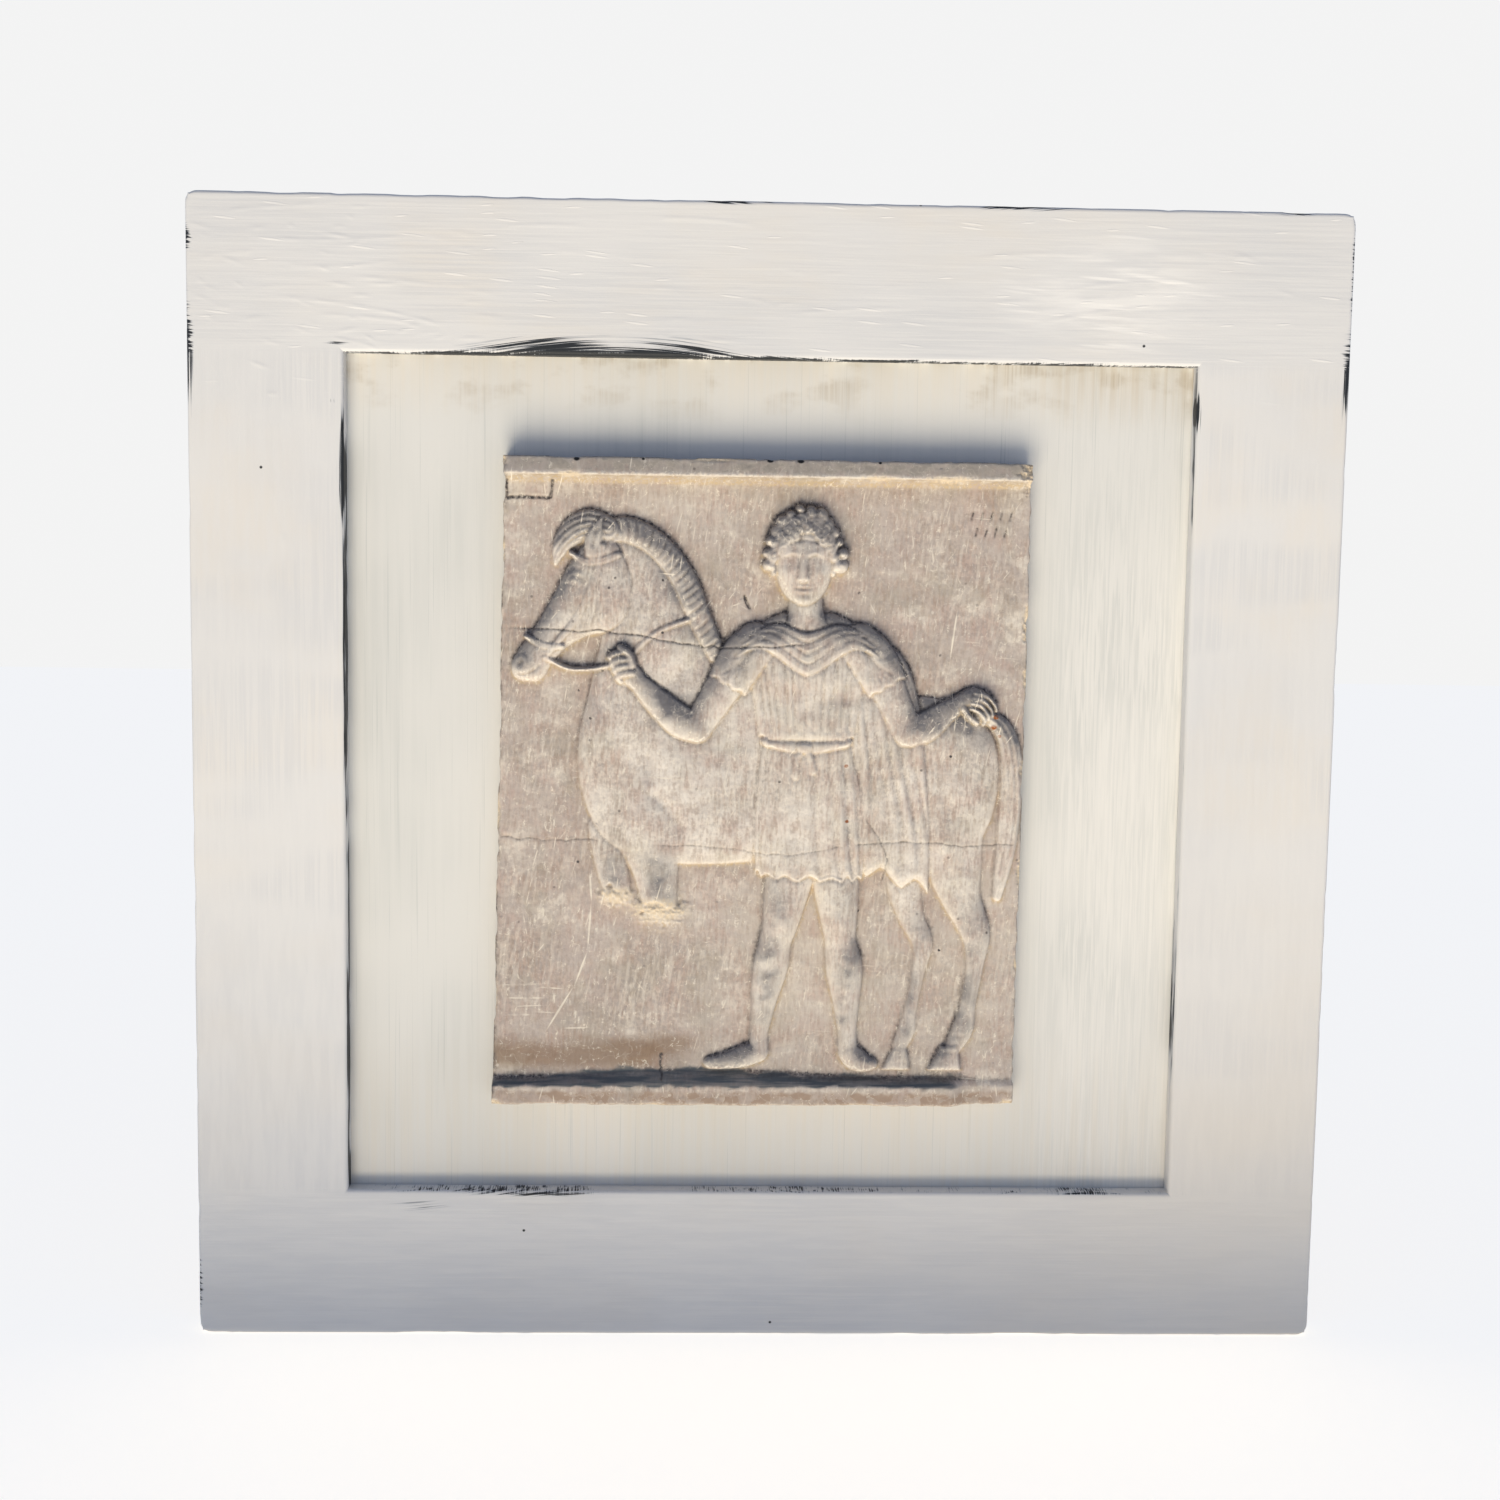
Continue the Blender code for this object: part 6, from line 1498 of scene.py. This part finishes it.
def worn_chalk_paint(settings):
    """Chalk paint brushed over a dark base coat, then worn and rubbed. The hairs of the worn patches swing
    up and down by 7 mm along a sine, as the brush did.

    The eye gets a nearly flat off-white with the brush's streaks catching the light, cooler where it is
    thin, and feathery dark patches with bluish rims where the edges are worn through. A painted sheen lies on
    the thick strokes at the upper right, and painted shade makes the paint cooler and darker towards the
    foot.
    """
    material, tree, shader, place = new_material("Worn chalk paint", roughness=0.55, specular=0.4)
    level = add(tree, "ShaderNodeAttribute", attribute_name="level").outputs["Fac"]
    worn = add(tree, "ShaderNodeAttribute", attribute_name="worn").outputs["Fac"]
    # A bristle's mark of 0.3 mm is too fine to show, so fine strokes are drawn at 1.6 mm and hairs at 0.7
    fine, coarse = brush_strokes(tree, place, level, (60, 1.6, 0.35, 0.65), (34, 5.0, 0.36, 0.66))
    across, depth, height = add(tree, "ShaderNodeSeparateXYZ", {0: place}).outputs
    turn_per_metre, first_turn, height_of_swing = 22.0, 3.5, -7.0 * MM
    run = add(tree, "ShaderNodeMath", {0: across, 1: turn_per_metre, 2: first_turn}, operation="MULTIPLY_ADD")
    arch = add(tree, "ShaderNodeMath", {0: run}, operation="SINE")
    swing = add(tree, "ShaderNodeCombineXYZ", {"Z": product(tree, arch, height_of_swing)})
    bent = add(tree, "ShaderNodeVectorMath", {0: place, 1: swing}, operation="ADD")
    hairs, = brush_strokes(tree, bent, level, (64, 0.7, 0.34, 0.66))
    cloud = grain(tree, place, (170, 60, 120), 0.36, 0.66)
    haze = grain(tree, place, (90, 60, 60), 0.42, 0.68, detail=3)
    swept = grain(tree, place, (120, 60, 46), 0.46, 0.62, detail=1)
    face = -BOARD_THICKNESS
    front = add(tree, "ShaderNodeMapRange", {0: depth, 1: 2 * MM + face, 2: 1 * MM + face})
    specks = product(tree, strewn(tree, place, (3.4, 3.4), 0.0004), front)
    tatter = add(tree, "ShaderNodeMix", {0: 0.15, 2: hairs, 3: coarse})
    ragged = add(tree, "ShaderNodeMath", {0: tatter, 1: 0.7}, operation="MULTIPLY")
    top = OPENING_HALF_HEIGHT
    # low rises towards the foot of the frame, where painted shade is laid
    upper, low = rising(tree, height, top - 0.03, top), rising(tree, height, 0.05, -top)
    to_right = add(tree, "ShaderNodeMapRange", {0: across, 1: 0.0, 2: 0.3})
    # Raised dashes of paint on the upper board: real ridges in the bump, laid paler as a painted glint
    raised_dashes_and_glints = product(tree, upper, most_of(tree, strewn(tree, place, (26, 2.4), 0.045, 6),
                                          strewn(tree, place, (16, 2.0), 0.025, -3)))
    # Painted highlight: the sheen on the thick paint at the upper right of the frame
    painted_gloss_patch = marks(tree, place, [(196, 450, 84, 46, 6)], 0.8)
    strokes = most_of(tree, strewn(tree, place, (88, 6), 0.30, 9), strewn(tree, place, (60, 3.6), 0.30, 4))
    # The painted sheen broken into strokes
    thick = product(tree, painted_gloss_patch, strokes)
    tone = toned(
        tree, settings.paint,
        (settings.cool, cloud, coarse, 0.25, 0.30),
        (settings.warm, haze, coarse, 0.3, 0.30),
        (settings.cool, swept, fine, 0.8, 0.22),
        # Painted shade: cooler and darker towards the foot of the frame
        (settings.cool, low, coarse, 0.3, 0.42),
        # Warmer towards the lower right
        (settings.warm, product(tree, low, to_right), cloud, 0.3, 0.48),
        # Painted highlight: the sheen at the upper right, and its strokes in the next layer
        (settings.thick, painted_gloss_patch, coarse, 0.7, 0.42),
        (settings.thick, thick, fine, 0.5, 0.95),
        # Painted glint on the raised dashes
        (settings.thick, raised_dashes_and_glints, coarse, 0.2, 0.40),
        (settings.edge, broken_up(tree, worn, ragged, 0.70, 1.0, 0.7)),
        (settings.base, broken_up(tree, worn, ragged, 0.84, 1.0, 0.97)),
        (settings.base, specks),
        (settings.wood, unpainted(tree, place), fine, 0.1))
    tree.links.new(tone, shader.inputs["Base Color"])
    relief(tree, shader, (fine, 0.03), (coarse, 0.025), (raised_dashes_and_glints, 0.09))
    return material


def brushed_chalk_paint(settings):
    """Chalk paint brushed upright over wood.

    The eye gets a cream white with long upright streaks, greyer where the wood's grain shows through, and
    creamier along the upper edge.
    """
    material, tree, shader, place = new_material("Cream chalk paint", roughness=0.5, specular=0.4)
    # Bristle marks of 0.3 mm and grain lines of 0.5 mm are too fine to show, and are drawn at 1.3 and 1.0 mm
    fine, coarse, bold = brush_strokes(tree, place, 0.0, (90, 1.3, 0.36, 0.64), (110, 4.0, 0.36, 0.66),
                                       (34, 1.5, 0.44, 0.60))
    cloud = grain(tree, place, (90, 60, 140), 0.38, 0.66)
    lines = grain(tree, place, (1.0, 12, 120), 0.60, 0.74, detail=2)
    smudge = grain(tree, place, (30, 30, 18), 0.50, 0.66, detail=4)
    across, _, height = add(tree, "ShaderNodeSeparateXYZ", {0: place}).outputs
    top, side = OPENING_HALF_HEIGHT, CAST_HIGH.x
    # Near the upper edge, just under the upper board
    near_upper_edge = rising(tree, height, top - 0.042, top - 0.006)
    foot = rising(tree, height, -top + 0.11, -top + 0.03)
    right = rising(tree, across, side - 0.01, side + 0.04)
    below = rising(tree, height, top - 0.05, top - 0.16)
    tone = toned(
        tree, settings.paint,
        (settings.thin, cloud, coarse, 0.35, 0.35),
        (settings.thin, lines, fine, 0.5, 0.6),
        (settings.pale, product(tree, right, below), fine, 0.3, 0.40),
        (settings.thin, product(tree, right, bold), cloud, 0.5, 0.34),
        (settings.cream, foot, coarse, 0.5, 0.30),
        # Creamier along the upper edge
        (settings.cream, near_upper_edge, coarse, 0.3, 0.45),
        (settings.dirt, product(tree, near_upper_edge, smudge), fine, 0.4, 0.35),
        (settings.dirt, product(tree, near_upper_edge, right), coarse, 0.6, 0.22),
        (settings.wood, unpainted(tree, place), fine, 0.1))
    tree.links.new(tone, shader.inputs["Base Color"])
    relief(tree, shader, (fine, 0.02), (coarse, 0.02))
    return material


def make_panel(settings):
    """Paints the panel, whose shape is the model's own."""
    paint = brushed_chalk_paint(settings)
    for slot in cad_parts["panel"].material_slots:
        slot.material = paint


def level_sheet(name, half, front, back, level, finish):
    """A level rectangle as wide as twice the half, from y = front to y = back."""
    corners = ((-half, front), (half, front), (half, back), (-half, back))
    mesh = new_mesh(name, [(*corner, level) for corner in corners], [(0, 1, 2, 3)])
    mesh.materials.append(finish)
    return in_scene(name, mesh)


def make_stage(settings):
    """The floor, the light and the camera.

    The floor lets the key light through, because the work was lit from low in front and the floor is only
    there to stand it on. The card, which the camera doesn't see, darkens the foot of the work.
    """
    scene = bpy.context.scene
    scene.view_settings.view_transform = "Standard"
    finish, floor_tree, shader, _ = new_material("Plain floor", roughness=0.9, specular=0.1)
    seen = add(floor_tree, "ShaderNodeLightPath").outputs["Is Camera Ray"]
    glow = add(floor_tree, "ShaderNodeMapRange", {0: seen, 3: settings.floor_glow, 4: settings.floor_shown})
    floor_tree.links.new(glow.outputs[0], shader.inputs["Emission Strength"])
    shader.inputs["Base Color"].default_value = settings.floor
    shader.inputs["Emission Color"].default_value = linear(WHITE)
    reach = settings.floor_reach
    floor = level_sheet("floor", reach, -reach, reach, -FRAME_HALF_HEIGHT, finish)
    floor.visible_shadow = False
    card_level = LIT_FROM + CARD_FRONT * math.tan(math.radians(KEY_BELOW))
    card = level_sheet("shading_card", 3, CARD_FRONT, 0.6, card_level, finish)
    card.visible_camera = False
    light = bpy.data.lights.new("key_light", "SUN")
    light.energy, light.color, light.angle = settings.key, settings.warm[:3], settings.key_size
    lamp = in_scene("key_light", light)
    lamp.location = (-0.4, -1.2, -0.5)
    lamp.rotation_euler = (math.radians(90 + KEY_BELOW), 0, math.radians(-KEY_LEFT))
    world = bpy.data.worlds.new("Studio")
    world.use_nodes = True
    tree = world.node_tree
    seen = add(tree, "ShaderNodeLightPath").outputs["Is Camera Ray"]
    power = add(tree, "ShaderNodeMapRange", {0: seen, 3: settings.room, 4: settings.backdrop})
    sky = tree.nodes["Background"]
    tree.links.new(toned(tree, settings.cool, (linear(WHITE), seen)), sky.inputs["Color"])
    tree.links.new(power.outputs[0], sky.inputs["Strength"])
    scene.world = world
    lens = bpy.data.cameras.new("camera")
    lens.lens, lens.sensor_width = settings.lens, 36
    camera = in_scene("camera", lens)
    camera.location = CAMERA_PLACE
    camera.rotation_euler = (Matrix.Rotation(math.radians(90 - CAMERA_DOWN), 3, "X")
                             @ Matrix.Rotation(math.radians(-CAMERA_RIGHT), 3, "Y")
                             @ Matrix.Rotation(math.radians(CAMERA_ROLL), 3, "Z")).to_euler()
    scene.camera = camera


class RELIEF_OT_cast(bpy.types.Operator):
    """Carves, wears and tones the plaster cast"""

    bl_idname = "relief.cast"
    bl_label = "Plaster cast"

    def execute(self, context):
        make_cast(context.scene.relief_cast)
        return {"FINISHED"}


class RELIEF_OT_frame(bpy.types.Operator):
    """Makes the four painted boards of the frame"""

    bl_idname = "relief.frame"
    bl_label = "Painted frame"

    def execute(self, context):
        make_frame(context.scene.relief_frame)
        return {"FINISHED"}


class RELIEF_OT_panel(bpy.types.Operator):
    """Paints the panel behind the cast"""

    bl_idname = "relief.panel"
    bl_label = "Painted panel"

    def execute(self, context):
        make_panel(context.scene.relief_panel)
        return {"FINISHED"}


class RELIEF_OT_stage(bpy.types.Operator):
    """Sets up the floor, the light and the camera"""

    bl_idname = "relief.stage"
    bl_label = "Studio"

    def execute(self, context):
        make_stage(context.scene.relief_studio)
        return {"FINISHED"}


class RELIEF_PT_plaque(bpy.types.Panel):
    """Lists the pieces of the plaque with their sizes and colours"""

    bl_idname = "RELIEF_PT_plaque"
    bl_label = "Relief plaque"
    bl_space_type = "VIEW_3D"
    bl_region_type = "UI"
    bl_category = "Relief plaque"

    def draw(self, context):
        for operator, group in PIECES:
            box = self.layout.box()
            box.operator(operator)
            settings = getattr(context.scene, group)
            for name in settings.bl_rna.properties.keys():
                if name not in ("rna_type", "name"):
                    box.prop(settings, name)


PIECES = (("relief.stage", "relief_studio"), ("relief.cast", "relief_cast"),
          ("relief.frame", "relief_frame"), ("relief.panel", "relief_panel"))
GROUPS = {"relief_studio": StudioSettings, "relief_cast": CastSettings,
          "relief_frame": FrameSettings, "relief_panel": PanelSettings}
CLASSES = (*GROUPS.values(), RELIEF_OT_cast, RELIEF_OT_frame, RELIEF_OT_panel, RELIEF_OT_stage,
           RELIEF_PT_plaque)


def register():
    """Registers the classes and gives the scene their settings."""
    for one in CLASSES:
        bpy.utils.register_class(one)
    for name, group in GROUPS.items():
        setattr(bpy.types.Scene, name, bpy.props.PointerProperty(type=group))


def unregister():
    """Takes away what register added."""
    for name in GROUPS:
        delattr(bpy.types.Scene, name)
    for one in reversed(CLASSES):
        bpy.utils.unregister_class(one)


def main():
    """Makes every piece in order."""
    register()
    bpy.ops.relief.stage()
    bpy.ops.relief.cast()
    bpy.ops.relief.frame()
    bpy.ops.relief.panel()


if __name__ == "__main__":
    main()
